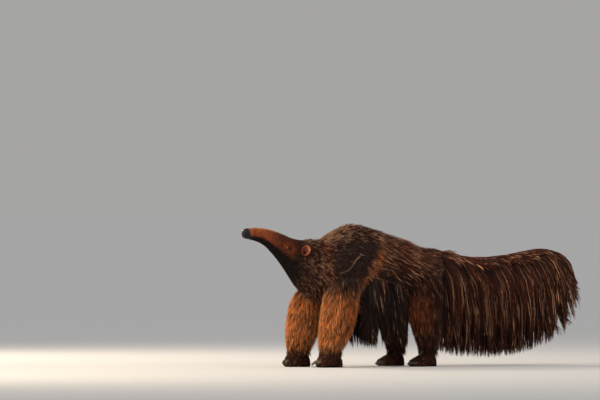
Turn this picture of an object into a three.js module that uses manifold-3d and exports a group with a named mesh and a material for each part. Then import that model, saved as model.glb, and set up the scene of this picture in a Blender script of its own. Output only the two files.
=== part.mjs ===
// A giant anteater that stands with its muzzle raised, at life size, as a museum shows it.
// Millimetres, +Z up. It faces -X, its left side faces -Y, and the floor is z = 0.
// Lengths along the body are measured from the nose tip. The whole group is then moved forward by half
// the animal's length, so the origin lies on the floor under the middle of it.

import * as THREE from "three";
import { mergeVertices } from "three/addons/utils/BufferGeometryUtils.js";
import Module from "manifold-3d";

const wasm = await Module();
wasm.setup();

// Driving sizes
const LENGTH = 1892; // nose tip to the last hair of the tail
const GAP = 0.3; // between pieces that touch
const STANCE = 114; // middle of each foot from the midline
const RIGHT_FORE_STEP = -46; // the right feet stand this much further forward
const RIGHT_HIND_STEP = -44;
const RIGHT_FLANK_STEP = -36;
const STEP_FADE = [280, 560]; // the heights between which that step fades out up the leg
const BODY_SIDES = 20;
const LIMB_SIDES = 10;
const FOOT_SIDES = 10;
const CORE_SIDES = 9; // below long hair
const LEG_COAT = 15; // how deep a leg's core lies below its outline
const FLANK_COAT = 20;

// Coat: how deep a lock's root is sunk, how soon it reaches the outline, and how much the locks vary
const SINK = 14;
const RISE = 0.36;
const LOCK_SIDES = 3;
const VARY = 0.16;
const CLEAR = 0.5; // how much the copies that cut the neighbours are grown
const TIP_REACH = 0.02; // and how much further their tips go, in lengths of the lock
const WIDER = 7; // how the edges and faces of those copies follow from the growth
const THICKER = 2.6;
const SEED = 48;

// Colours and finishes from the photograph
const finish = (color, roughness) => new THREE.MeshStandardMaterial({ color, roughness, metalness: 0 });
const DARK_COAT = finish(0x2a1710, 0.75);
const BROWN_COAT = finish(0x4a2a1a, 0.75);
const TAN_COAT = finish(0xa5643a, 0.8);
const FACE_COAT = finish(0x6f4029, 0.75);
const NOSE_SKIN = finish(0x15161b, 0.35);
const EYE_GLOSS = finish(0x0d0806, 0.1);
const EAR_SKIN = finish(0x94543a, 0.7);
const HORN = finish(0x3a3029, 0.45);

// Sections of the head and trunk: place along, top, bottom, height of the widest level, half width
const BODY = [
  [0, 648, 628, 638, 7],
  [4, 655, 620, 638, 13],
  [13, 661, 614, 638, 18],
  [30, 664, 611, 638, 21],
  [70, 665, 603, 636, 24],
  [111, 663, 587, 630, 29],
  [167, 651, 541, 612, 38],
  [222, 632, 480, 585, 50],
  [267, 615, 420, 562, 60],
  [300, 608, 378, 540, 70],
  [350, 604, 340, 505, 88],
  [420, 604, 305, 480, 108],
  [500, 636, 284, 460, 128],
  [594, 658, 276, 440, 134],
  [700, 632, 270, 425, 136],
  [800, 590, 266, 420, 140],
  [900, 566, 272, 425, 140],
  [970, 546, 300, 430, 130],
  [1030, 536, 345, 440, 108],
  [1080, 528, 400, 456, 76],
  [1105, 512, 430, 466, 48],
];

// How far the crest of the back stands above those sections
const CREST = [
  [440, 0],
  [560, 12],
  [700, 22],
  [800, 34],
  [900, 30],
  [1000, 18],
  [1105, 24],
];

// How deep the core lies below those sections
const COAT_DEPTH = [
  [300, 0],
  [350, 5],
  [600, 6],
  [680, 13],
  [1105, 13],
];

// Sections of the tail's core, below its long hair
const TAIL_CORE = [
  [1030, 540, 372, 460, 88],
  [1070, 536, 350, 450, 74],
  [1110, 530, 330, 440, 56],
  [1210, 508, 300, 424, 50],
  [1316, 500, 290, 414, 48],
  [1444, 508, 288, 414, 45],
  [1560, 524, 300, 418, 41],
  [1640, 534, 330, 430, 36],
  [1690, 524, 380, 446, 26],
  [1716, 504, 420, 462, 12],
];

// The tail's outline out to the tips of its hair
const TAIL_HAIR = [
  [1030, 546, 120, 420, 92],
  [1076, 556, 70, 400, 94],
  [1130, 552, 50, 390, 94],
  [1210, 532, 36, 370, 94],
  [1316, 526, 30, 360, 92],
  [1444, 534, 34, 360, 88],
  [1560, 554, 50, 370, 84],
  [1677, 566, 84, 380, 78],
  [1760, 548, 110, 380, 62],
  [1830, 498, 130, 360, 34],
  [1868, 400, 170, 320, 9],
];

// Outline of the hair that hangs from a left flank: height, middle along, across, half length, half width
const FLANK = [
  [84, 722, 150, 96, 14],
  [150, 718, 148, 104, 24],
  [250, 714, 144, 112, 32],
  [350, 712, 134, 116, 36],
  [460, 712, 118, 112, 28],
];

// Outline of a left foreleg, level sections: height, middle along, middle across, half length, half width
const FORELEG = [
  [70, 416, 114, 54, 45],
  [110, 426, 115, 69, 51],
  [180, 444, 118, 87, 59],
  [260, 462, 118, 94, 62],
  [330, 482, 110, 98, 59],
  [400, 516, 96, 92, 52],
  [480, 556, 70, 74, 44],
];

// Outline of a left hind leg
const HINDLEG = [
  [62, 958, 114, 42, 38],
  [120, 952, 114, 54, 46],
  [200, 942, 114, 76, 56],
  [280, 934, 112, 96, 62],
  [360, 944, 102, 104, 60],
  [440, 962, 82, 92, 48],
];

// Sections of a foot from the toes back: place along, top, bottom, height of the widest level, half width
const FORE_FOOT = [
  [352, 34, -8, 14, 22],
  [366, 58, -10, 18, 38],
  [400, 84, -12, 24, 47],
  [440, 88, -12, 24, 46],
  [466, 66, -10, 22, 36],
  [478, 44, -8, 18, 18],
];
const HIND_FOOT = [
  [868, 30, -6, 12, 26],
  [884, 38, -10, 12, 40],
  [920, 56, -12, 16, 43],
  [960, 78, -12, 24, 38],
  [990, 66, -10, 24, 30],
  [1002, 44, -8, 20, 14],
];

// Tiers of locks. from and to are the places of the first and last root, count is for each side of the body,
// angle is the root's in degrees round the section, turn and sweep are how far the tip lies from the root
// round and along it. A lock starts deep below the outline and its tip stands off it by lift, so that each
// tier lies over the next one down. thick and steps are the usual ones where a row doesn't say.
const USUAL = { thick: 14, steps: 3 };
const CREST_LOCKS = {
  from: 560, to: 980, count: 5, angle: 83, turn: -4, sweep: 168,
  wide: 60, thick: 26, deep: 6, lift: 0,
};
const BACK_TIERS = [
  { from: 652, to: 960, count: 5, angle: 60, turn: -30, sweep: 122, wide: 76, deep: 9, lift: 9 },
  { from: 668, to: 960, count: 5, angle: 32, turn: -28, sweep: 104, wide: 70, deep: 9, lift: 9 },
  { from: 880, to: 960, count: 2, angle: 10, turn: -20, sweep: 82, wide: 66, thick: 13, deep: 9, lift: 9 },
];
const CHEST_TIERS = [
  { from: 500, to: 600, count: 2, angle: -74, turn: -4, sweep: 34, wide: 54, deep: 0, lift: 52 },
];
const NECK_TIERS = [
  { from: 402, to: 462, count: 3, angle: 74, turn: -8, sweep: 56, wide: 42, thick: 12, deep: 2, lift: 12 },
  { from: 380, to: 436, count: 2, angle: 42, turn: -14, sweep: 56, wide: 46, thick: 12, deep: 3, lift: 10 },
  {
    from: 312, to: 372, count: 2, angle: -16, turn: -26, sweep: 50,
    wide: 50, thick: 12, deep: 3, lift: 12,
  },
  {
    from: 290, to: 358, count: 2, angle: -52, turn: -20, sweep: 48,
    wide: 54, thick: 12, deep: 2, lift: 18,
  },
];
const FLANK_TIERS = [
  { from: 22, to: 158, count: 4, height: 456, drop: 190, wide: 76, thick: 15, deep: 16, lift: 8 },
  { from: 44, to: 136, count: 3, height: 366, drop: 222, wide: 78, thick: 15, deep: 18, lift: 6 },
  { from: 6, to: 174, count: 4, height: 300, drop: 212, wide: 80, deep: 18, lift: 0 },
  { from: 270, to: 270, count: 1, height: 300, drop: 206, wide: 80, deep: 14, lift: 2 },
];
const FORELEG_TIERS = [
  { from: 10, to: 140, count: 4, height: 376, drop: 140, wide: 62, deep: 10, lift: 5 },
  { from: -16, to: 160, count: 4, height: 286, drop: 132, wide: 64, deep: 10, lift: 3 },
  { from: 6, to: 150, count: 3, height: 196, drop: 108, wide: 62, thick: 13, deep: 10, lift: 2 },
  { from: 258, to: 258, count: 1, height: 270, drop: 160, wide: 66, thick: 13, deep: 10, lift: 2 },
];
const HINDLEG_TIERS = [
  { from: 64, to: 132, count: 2, height: 384, drop: 180, wide: 68, deep: 10, lift: 10 },
  {
    from: -26, to: 40, count: 3, height: 392, drop: 316,
    wide: 74, thick: 15, deep: 10, lift: 18, steps: 4,
  },
  { from: 96, to: 96, count: 1, height: 290, drop: 180, wide: 68, deep: 10, lift: 8 },
  { from: 60, to: 130, count: 2, height: 206, drop: 118, wide: 58, thick: 12, deep: 9, lift: 6 },
  { from: 300, to: 300, count: 1, height: 290, drop: 190, wide: 64, thick: 13, deep: 10, lift: 6 },
];
const TAIL_TIERS = [
  {
    from: 1062, to: 1590, count: 7, angle: 79, turn: -52, sweep: 134,
    wide: 90, thick: 17, deep: 6, lift: 7, steps: 4,
  },
  {
    from: 1062, to: 1600, count: 7, angle: 44, turn: -70, sweep: 92,
    wide: 88, thick: 17, deep: 22, lift: 5,
  },
  {
    from: 1070, to: 1646, count: 7, angle: 12, turn: -72, sweep: 62,
    wide: 80, thick: 16, deep: 28, lift: 2,
  },
  {
    from: 1096, to: 1640, count: 6, angle: -24, turn: -56, sweep: 50,
    wide: 84, thick: 15, deep: 32, lift: 2,
  },
];
const TAIL_END_TIERS = [
  {
    from: 1640, to: 1692, count: 2, angle: 86, turn: -88, sweep: 172,
    wide: 86, thick: 18, deep: 8, lift: 4, steps: 4,
  },
  {
    from: 1640, to: 1694, count: 2, angle: 46, turn: -86, sweep: 172,
    wide: 78, thick: 16, deep: 18, lift: 3, steps: 4,
  },
  {
    from: 1650, to: 1694, count: 2, angle: 10, turn: -68, sweep: 168,
    wide: 76, thick: 15, deep: 22, lift: 2,
  },
];

// A smooth curve through rows whose first number is the place along. It never swings past its rows.
function through(rows, at) {
  const top = rows.length - 1;
  const x = THREE.MathUtils.clamp(at, rows[0][0], rows[top][0]);
  const i = Math.min(top - 1, rows.findLastIndex((row) => row[0] <= x));
  const slope = (k, c) => (rows[k + 1][c] - rows[k][c]) / (rows[k + 1][0] - rows[k][0]);
  const tangent = (k, c) => {
    if (k === 0 || k === top) return slope(Math.min(k, top - 1), c);
    const before = slope(k - 1, c);
    const after = slope(k, c);
    return before * after <= 0 ? 0 : (2 * before * after) / (before + after);
  };
  const span = rows[i + 1][0] - rows[i][0];
  const t = (x - rows[i][0]) / span;
  return rows[i].slice(1).map((start, n) => {
    const c = n + 1;
    const bend = t * t * (3 - 2 * t);
    const leave = tangent(i, c) * span * t * (1 - t) * (1 - t);
    const arrive = tangent(i + 1, c) * span * t * t * (t - 1);
    return start + (rows[i + 1][c] - start) * bend + leave + arrive;
  });
}

// A point on an oval section that stands across the body
const upright = (rows, across = 0, shift = 0) => (x, angle, grow = 0) => {
  const [top, bottom, wide, half] = through(rows, x - shift);
  const rise = Math.sin(angle) > 0 ? top + grow - wide : wide - bottom + grow;
  return new THREE.Vector3(x, across + (half + grow) * Math.cos(angle), wide + rise * Math.sin(angle));
};

// A point on a level oval section of a limb. The step carries the lower limb forward.
const level = (rows, side, step) => (z, angle, grow = 0) => {
  const [along, across, halfLength, halfWidth] = through(rows, z);
  const carried = step * (1 - THREE.MathUtils.smoothstep(z, ...STEP_FADE));
  return new THREE.Vector3(
    along + carried + (halfLength + grow) * Math.cos(angle),
    side * across + side * (halfWidth + grow) * Math.sin(angle),
    z,
  );
};

// A closed mesh as a solid, turned right side out
function solid(geometry) {
  const bare = geometry.clone();
  bare.deleteAttribute("normal");
  bare.deleteAttribute("uv");
  const merged = mergeVertices(bare, 1e-4);
  const triVerts = new Uint32Array(merged.index.array);
  const vertProperties = merged.attributes.position.array;
  const made = new wasm.Manifold(new wasm.Mesh({ numProp: 3, vertProperties, triVerts }));
  if (made.volume() > 0) return made;
  for (let i = 0; i < triVerts.length; i += 3) triVerts.subarray(i, i + 2).reverse();
  return new wasm.Manifold(new wasm.Mesh({ numProp: 3, vertProperties, triVerts }));
}

// A capped cylinder whose rings are moved onto the sections at these places
function form(section, places, sides, grow = 0) {
  const last = places.length - 1;
  const geometry = new THREE.CylinderGeometry(1, 1, 1, sides, last);
  const position = geometry.attributes.position;
  const axis = section(places[last], 0).sub(section(places[0], 0));
  const end = Math.abs(axis.z) > Math.abs(axis.x) ? "z" : "x";
  for (let i = 0; i < position.count; i++) {
    const ring = Math.round((0.5 - position.getY(i)) * last);
    const outward = ring === 0 ? -grow : ring === last ? grow : 0;
    const at = places[ring];
    const angle = Math.atan2(position.getZ(i), position.getX(i));
    const onRim = Math.hypot(position.getX(i), position.getZ(i)) > 0.5;
    const middle = section(at, 0).add(section(at, Math.PI)).multiplyScalar(0.5);
    const point = onRim ? section(at, angle, grow) : middle;
    point[end] += outward * Math.sign(places[last] - places[0]);
    position.setXYZ(i, point.x, point.y, point.z);
  }
  return solid(geometry);
}

const spread = (from, to, count) =>
  Array.from({ length: count }, (_, i) => from + ((to - from) * i) / Math.max(1, count - 1));

// A simple shape as a solid, turned and moved to its place
function placed(geometry, x, y, z, turnX = 0, turnY = 0, turnZ = 0) {
  const matrix = new THREE.Matrix4().makeRotationFromEuler(new THREE.Euler(turnX, turnY, turnZ));
  matrix.setPosition(x, y, z);
  return solid(geometry.clone().applyMatrix4(matrix));
}

const ball = (r, x, y, z, stretch = [1, 1, 1], around = 12, down = 7) =>
  placed(new THREE.SphereGeometry(r, around, down).scale(...stretch), x, y, z);

// A block that covers everything on the far side of a plane, for thin cuts between pieces
const REACH = 2600;
function beyond([x, z, tilt], back) {
  const block = new THREE.BoxGeometry(REACH, REACH, REACH).translate(REACH / 2 + back, 0, 0);
  return placed(block, x, 0, z, 0, tilt, 0);
}

// The part between two planes, each given as place along, height and tilt
function between(whole, front, rear) {
  let piece = whole;
  if (rear) piece = piece.subtract(beyond(rear, -GAP / 2));
  if (front) piece = piece.intersect(beyond(front, GAP / 2));
  return piece;
}

const largest = (whole) => whole.decompose().sort((a, b) => b.volume() - a.volume())[0];
const join = (pieces) => wasm.Manifold.union(pieces);

// A seeded draw between -1 and 1, so that the locks vary alike in each build
let state = SEED;
function draw() {
  state = (state * 1664525 + 1013904223) % 4294967296;
  return (state / 4294967296) * 2 - 1;
}

// The roots of one tier on one side, each varied a little. Across the body the angle is mirrored.
function rootsAcross(tier, side) {
  const pitch = (tier.to - tier.from) / Math.max(1, tier.count - 1);
  return spread(tier.from, tier.to, tier.count).map((place) => {
    const angle = THREE.MathUtils.degToRad(tier.angle + 3 * draw());
    const turn = THREE.MathUtils.degToRad(tier.turn * (1 + 0.6 * VARY * draw()));
    return {
      ...USUAL,
      ...tier,
      place: place + pitch * VARY * draw() + (side * pitch) / 5,
      angle: side > 0 ? angle : Math.PI - angle,
      turn: side * turn,
      sweep: tier.sweep * (1 + VARY * draw()),
      wide: tier.wide * (1 + VARY * draw()),
    };
  });
}

// The roots of one tier round a limb: they start at a height and fall
function rootsRound(tier) {
  return spread(tier.from, tier.to, tier.count).map((degrees) => ({
    ...USUAL,
    ...tier,
    place: tier.height + 10 * draw(),
    angle: THREE.MathUtils.degToRad(degrees + 5 * draw()),
    turn: THREE.MathUtils.degToRad(5 * draw()),
    sweep: -tier.drop * (1 + 0.7 * VARY * draw()),
    wide: tier.wide * (1 + VARY * draw()),
  }));
}

const planeAt = ([x, z, tilt], height) => x + (height - z) * Math.tan(tilt);

// A flat, tapered lock of three sides. It leaves the core at its root and bends along the outline to its tip.
// front and rear are the planes of the node, and a hanging lock bends clear of them.
function lock(root, outer, core, { front, rear, grow = 0 } = {}) {
  const fullness = (t) => Math.max(0, 1 - t) ** 0.7 * (0.8 + 0.8 * t);
  const at = (t) => {
    const place = root.place + root.sweep * t;
    const angle = root.angle + root.turn * t;
    const low = core(place, angle, -SINK);
    const high = outer(place, angle, (root.deep + root.lift) * t - root.deep);
    const point = low.lerp(high, THREE.MathUtils.smoothstep(t, 0, RISE));
    const half = (root.wide * fullness(Math.min(t, 1))) / 2 + 1;
    if (front) point.x = Math.max(point.x, planeAt(front, point.z) + half);
    if (rear) point.x = Math.min(point.x, planeAt(rear, point.z) - half);
    return point;
  };
  const outward = (t) => {
    const place = root.place + root.sweep * t;
    const angle = root.angle + root.turn * t;
    return outer(place, angle, 10).sub(outer(place, angle, 0)).normalize();
  };
  const geometry = new THREE.ConeGeometry(1, 1, LOCK_SIDES, root.steps);
  const position = geometry.attributes.position;
  for (let i = 0; i < position.count; i++) {
    const t = position.getY(i) + 0.5;
    const radius = Math.max(1 - t, 1e-6);
    const tangent = at(t + 0.02).sub(at(t - 0.02)).normalize();
    const across = tangent.clone().cross(outward(t)).normalize();
    const up = across.clone().cross(tangent);
    const point = at(t > 0.99 ? 1 + grow * TIP_REACH : t);
    if (t < 0.01) point.addScaledVector(tangent, -2 * grow);
    const halfWide = (root.wide * fullness(t)) / Math.sqrt(3) + WIDER * grow;
    const halfThick = (root.thick * fullness(t)) / 1.5 + THICKER * grow;
    point.addScaledVector(across, (position.getX(i) / radius) * halfWide * (t < 1 ? 1 : 0));
    point.addScaledVector(up, (position.getZ(i) / radius) * halfThick * (t < 1 ? 1 : 0));
    position.setXYZ(i, point.x, point.y, point.z);
  }
  return solid(geometry);
}

const group = new THREE.Group();
function add(name, made, material) {
  const mesh = largest(made).getMesh();
  const geometry = new THREE.BufferGeometry();
  geometry.setAttribute("position", new THREE.BufferAttribute(mesh.vertProperties, 3));
  geometry.setIndex(new THREE.BufferAttribute(mesh.triVerts, 1));
  geometry.computeVertexNormals();
  const node = new THREE.Mesh(geometry, material);
  node.name = name;
  group.add(node);
}

// Planes between the pieces: place along, height, tilt
const tilted = (x, z, degrees) => [x, z, THREE.MathUtils.degToRad(degrees)];
const NOSE_BACK = tilted(27, 638, 0);
const HEAD_BACK = tilted(330, 540, 36);
const NECK_BACK = tilted(470, 470, 24);
const TORSO_SPLIT = tilted(752, 500, -14);
const TAIL_START = tilted(1050, 470, 0);
const TAIL_SPLITS = [tilted(1298, 400, -7), tilted(1506, 400, -7)];
const FLANK_ENDS = {
  left: [tilted(604, 300, 13), tilted(840, 300, -8)],
  right: [tilted(560, 300, 13), tilted(796, 300, -8)],
};
const FLANK_INNER = 96; // from the midline
const FLANK_TOP = 470;
const FLOOR_DEPTH = 60;
const floorBlock = placed(new THREE.BoxGeometry(REACH, REACH, FLOOR_DEPTH), 900, 0, -FLOOR_DEPTH / 2);
const SIDES = [
  { side: -1, hand: "left", foreStep: 0, hindStep: 0, flankStep: 0 },
  {
    side: 1,
    hand: "right",
    foreStep: RIGHT_FORE_STEP,
    hindStep: RIGHT_HIND_STEP,
    flankStep: RIGHT_FLANK_STEP,
  },
];

// Head, neck and torso, modelled whole. Behind the head the core lies below the outline by the coat's depth,
// and it fills half of the crest.
const outlineAt = upright(BODY);
const crestedAt = (x, angle, grow = 0) => {
  const lift = Math.max(0, Math.sin(angle)) ** 3 * through(CREST, x)[0];
  return outlineAt(x, angle, grow).add(new THREE.Vector3(0, 0, lift));
};
const bodyAt = (x, angle, grow = 0) => {
  const ridge = Math.max(0, Math.sin(angle)) ** 3;
  const depth = through(COAT_DEPTH, x)[0] * (1 - ridge);
  const lift = (ridge * through(CREST, x)[0]) / 2;
  return outlineAt(x, angle, grow - depth).add(new THREE.Vector3(0, 0, lift));
};
const bodyPlaces = [
  ...[0, 3, 8, 15, 28, 48, 72, 98, 124, 150, 178, 206, 234, 262, 290],
  ...spread(320, 620, 9),
  ...spread(665, 1040, 9),
  ...[1064, 1084, 1105],
];
const body = form(bodyAt, bodyPlaces, BODY_SIDES);
const fatBody = form(bodyAt, bodyPlaces, BODY_SIDES, GAP);

// Eyes in their sockets, with lids
const EYE = { along: 228, across: 45.5, height: 567, radius: 8.5 };
const LID = { radius: 9.1, thick: 2.6, long: 1.25, high: 0.85, out: 4.6, slope: 0.16, turn: 0.2 };
const lid = (side) => {
  const ring = new THREE.TorusGeometry(LID.radius, LID.thick, 5, 12).scale(LID.long, LID.high, 1);
  const across = side * (EYE.across + LID.out);
  return placed(ring, EYE.along, across, EYE.height, Math.PI / 2, LID.slope, -side * LID.turn);
};
const socket = (side) => ball(EYE.radius + GAP, EYE.along, side * EYE.across, EYE.height);

// Nostrils and the groove of the mouth
const NOSTRIL = { radius: 4.2, along: 1.5, across: 8, height: 646, stretch: [1.6, 0.75, 1.1] };
const MOUTH = { height: 620, length: 44, slit: 1.6, depth: 3, slope: 0.06, wide: 90 };
const MOUTH_PLACES = [2.4, 8, 15, 28, 48, 72];
const nostril = (side) => {
  const { radius, along, across, height, stretch } = NOSTRIL;
  return ball(radius, along, side * across, height, stretch, 8, 5);
};
const mouthBox = new THREE.BoxGeometry(MOUTH.length * 2, MOUTH.wide, MOUTH.slit);
const mouthSlab = placed(mouthBox, 0, 0, MOUTH.height, 0, MOUTH.slope);
const insideMouth = form(bodyAt, MOUTH_PLACES, LIMB_SIDES, -MOUTH.depth);
const mouthGroove = mouthSlab.subtract(insideMouth);

let head = between(body, NOSE_BACK, HEAD_BACK);
for (const { side } of SIDES) head = head.add(lid(side)).subtract(socket(side));
add("head", head.subtract(mouthGroove), FACE_COAT);
let nose = between(body, null, NOSE_BACK).subtract(mouthGroove);
for (const { side } of SIDES) nose = nose.subtract(nostril(side));
add("nose", nose, NOSE_SKIN);

// Ears: small round cups that face forward and out
const EAR = { along: 303, across: 68, height: 556, long: 50, wide: 42, deep: 15 };
const BOWL = { along: 299, across: 77, height: 557, long: 41, wide: 33, deep: 13 };
const EAR_TURN = [0.28, 0.38, 0.3];
function ear(side) {
  const egg = ({ along, across, height, long, wide, deep }, around, down) => {
    const shape = new THREE.SphereGeometry(1, around, down).scale(wide / 2, deep, long / 2);
    const [lean, tip, face] = EAR_TURN;
    return placed(shape, along, side * across, height, -side * lean, tip, side * face);
  };
  return egg(EAR, 12, 6).subtract(egg(BOWL, 10, 5)).subtract(fatBody);
}

for (const { side, hand } of SIDES) {
  add("eye_" + hand, ball(EYE.radius, EYE.along, side * EYE.across, EYE.height), EYE_GLOSS);
  add("ear_" + hand, ear(side), EAR_SKIN);
}

// Neck, with short bristles on the nape and longer ones on the throat
const neckRoots = SIDES.flatMap(({ side }) => NECK_TIERS.flatMap((tier) => rootsAcross(tier, side)));
const neckLocks = (grow) =>
  neckRoots.map((root) => lock(root, crestedAt, bodyAt, { grow }));
add("neck", between(join([body, ...neckLocks(0)]), HEAD_BACK, NECK_BACK), DARK_COAT);

// Torso. The flanks are cut out of it as slabs that carry the hanging hair.
function flankBlock({ side, hand }, grow) {
  const [front, rear] = FLANK_ENDS[hand];
  const slab = new THREE.BoxGeometry(REACH, REACH, REACH);
  const across = side * (FLANK_INNER - grow + REACH / 2);
  const whole = placed(slab, front[0], across, FLANK_TOP + grow - REACH / 2);
  return whole.intersect(beyond(front, -grow)).subtract(beyond(rear, grow));
}
const torsoRoots = SIDES.flatMap(({ side }) =>
  [CREST_LOCKS, ...BACK_TIERS, ...CHEST_TIERS].flatMap((tier) => rootsAcross(tier, side)),
);
const torsoLocks = (grow) =>
  torsoRoots.map((root) => lock(root, crestedAt, bodyAt, { grow }));
const openFlanks = SIDES.map((one) => flankBlock(one, GAP / 2));
const openBody = body.subtract(join(openFlanks));
const torso = between(join([openBody, ...torsoLocks(0)]), NECK_BACK, TAIL_START);
add("torso_front", between(torso, null, TORSO_SPLIT), DARK_COAT);
add("torso_rear", between(torso, TORSO_SPLIT, null), DARK_COAT);
const fatCoat = join([fatBody, ...torsoLocks(GAP), ...neckLocks(GAP)]);
const fatLocks = join([...torsoLocks(CLEAR), ...neckLocks(CLEAR)]);

// Flanks, with a short core and tiers of long hanging locks
const FLANK_HEIGHTS = spread(240, 455, 4);
for (const one of SIDES) {
  const [front, rear] = FLANK_ENDS[one.hand];
  const outline = level(FLANK, one.side, one.flankStep);
  const core = (z, angle, grow = 0) => outline(z, angle, grow - FLANK_COAT);
  const pieces = [form(core, FLANK_HEIGHTS, CORE_SIDES)];
  for (const tier of FLANK_TIERS) {
    for (const root of rootsRound(tier)) pieces.push(lock(root, outline, core, { front, rear }));
  }
  const flank = join([body, ...pieces]).intersect(flankBlock(one, -GAP / 2)).subtract(fatLocks);
  add("flank_" + one.hand, flank, DARK_COAT);
}

// A leg: a core under its coat of locks, cut to the body, and a foot with a flat sole
function limb({ rows, tiers, heights, footRows, footPlaces }, side, step, front, rear) {
  const outline = level(rows, side, step);
  const core = (z, angle, grow = 0) => outline(z, angle, grow - LEG_COAT);
  const foot = upright(footRows, side * STANCE, step);
  const shifted = footPlaces.map((x) => x + step);
  const fatFoot = form(foot, shifted, FOOT_SIDES, GAP);
  const roots = tiers.flatMap((tier) => rootsRound(tier));
  const coat = join(roots.map((root) => lock(root, outline, core, { front, rear }))).subtract(fatFoot);
  const leg = between(join([form(core, heights, LIMB_SIDES), coat]).subtract(fatCoat), front, rear);
  const sole = form(foot, shifted, FOOT_SIDES).subtract(floorBlock);
  return { leg, foot: sole.subtract(form(core, heights, LIMB_SIDES, GAP)), fatFoot };
}

// A claw: a tapered horn along a curve, from inside the toe to its tip
const CLAW_FLATNESS = 0.7;
function claw(points, thick, sides) {
  const curve = new THREE.QuadraticBezierCurve3(...points.map((p) => new THREE.Vector3(...p)));
  const geometry = new THREE.ConeGeometry(1, 1, sides, 4);
  const position = geometry.attributes.position;
  for (let i = 0; i < position.count; i++) {
    const t = position.getY(i) + 0.5;
    const tangent = curve.getTangent(t);
    const across = new THREE.Vector3(0, 1, 0).cross(tangent).normalize();
    const up = tangent.clone().cross(across);
    const point = curve.getPoint(t);
    point.addScaledVector(across, position.getX(i) * thick);
    point.addScaledVector(up, position.getZ(i) * thick * CLAW_FLATNESS);
    position.setXYZ(i, point.x, point.y, point.z);
  }
  return solid(geometry);
}

// Forelegs. The animal walks on its knuckles, so the three great claws fold inwards.
const FORE = {
  rows: FORELEG,
  tiers: FORELEG_TIERS,
  heights: spread(52, 480, 8),
  footRows: FORE_FOOT,
  footPlaces: [352, 359, 374, 405, 445, 470, 478],
};
const FORE_CLAWS = [
  { name: "second", across: -16, out: 44, thick: 9 },
  { name: "third", across: 4, out: 58, thick: 11 },
  { name: "fourth", across: 24, out: 26, thick: 6 },
];
for (const { side, hand, foreStep } of SIDES) {
  const made = limb(FORE, side, foreStep, null, FLANK_ENDS[hand][0]);
  add("foreleg_" + hand, made.leg, TAN_COAT);
  add("forefoot_" + hand, made.foot, DARK_COAT);
  for (const { name, across, out, thick } of FORE_CLAWS) {
    const y = side * (STANCE + across);
    const root = [372 + foreStep, y, 26];
    const knee = [352 + foreStep - out * 0.55, y - side * 4, 30];
    const tip = [358 + foreStep - out * 0.5, y - side * 22, 7];
    const horn = claw([root, knee, tip], thick, 6);
    add("claw_fore_" + hand + "_" + name, horn.subtract(made.fatFoot).subtract(floorBlock), HORN);
  }
}

// Hind legs, on flat soles with five small claws
const HIND = {
  rows: HINDLEG,
  tiers: HINDLEG_TIERS,
  heights: spread(44, 440, 8),
  footRows: HIND_FOOT,
  footPlaces: [868, 875, 892, 925, 962, 992, 1002],
};
const HIND_TOES = 5;
const TOE_PITCH = 16.5;
const TOE_FRONT = 872;
const TOE_FALL_BACK = 3.2; // of the outer toes, which grows with the square of their place
const HIND_CLAW_THICK = 6;
for (const { side, hand, hindStep } of SIDES) {
  const made = limb(HIND, side, hindStep, FLANK_ENDS[hand][1], TAIL_START);
  add("hindleg_" + hand, made.leg, BROWN_COAT);
  add("hindfoot_" + hand, made.foot, DARK_COAT);
  for (let toe = 0; toe < HIND_TOES; toe++) {
    const off = toe - (HIND_TOES - 1) / 2;
    const y = side * (STANCE + off * TOE_PITCH);
    const front = TOE_FRONT + hindStep + off * off * TOE_FALL_BACK;
    const curve = [[front + 16, y, 18], [front - 16, y, 24], [front - 26, y, 5]];
    const horn = claw(curve, HIND_CLAW_THICK, 4);
    add("claw_hind_" + hand + "_" + (toe + 1), horn.subtract(made.fatFoot).subtract(floorBlock), HORN);
  }
}

// Tail in three lengths: a deep narrow core, and tiers of long locks that hang from it
const tailCore = upright(TAIL_CORE);
const tailHair = upright(TAIL_HAIR);
const tailPlaces = [...spread(1030, 1650, 7), 1690, 1716];
const core = form(tailCore, tailPlaces, CORE_SIDES).subtract(fatCoat);
const lengths = [
  { name: "tail_root", front: TAIL_START, rear: TAIL_SPLITS[0] },
  { name: "tail_middle", front: TAIL_SPLITS[0], rear: TAIL_SPLITS[1] },
  { name: "tail_end", front: TAIL_SPLITS[1], rear: null },
];
const tailRoots = SIDES.flatMap(({ side }) =>
  [...TAIL_TIERS, ...TAIL_END_TIERS].flatMap((tier) => rootsAcross(tier, side)),
);
for (const { name, front, rear } of lengths) {
  const own = tailRoots.filter(({ place, sweep }) => {
    const middle = place + sweep / 2;
    return middle >= front[0] && (!rear || middle < rear[0]);
  });
  const locks = own.map((root) => lock(root, tailHair, tailCore, { front, rear }));
  add(name, between(join([core, ...locks]).subtract(fatCoat), front, rear), DARK_COAT);
}

group.position.x = -LENGTH / 2;
export default group;
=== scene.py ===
import math

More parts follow.
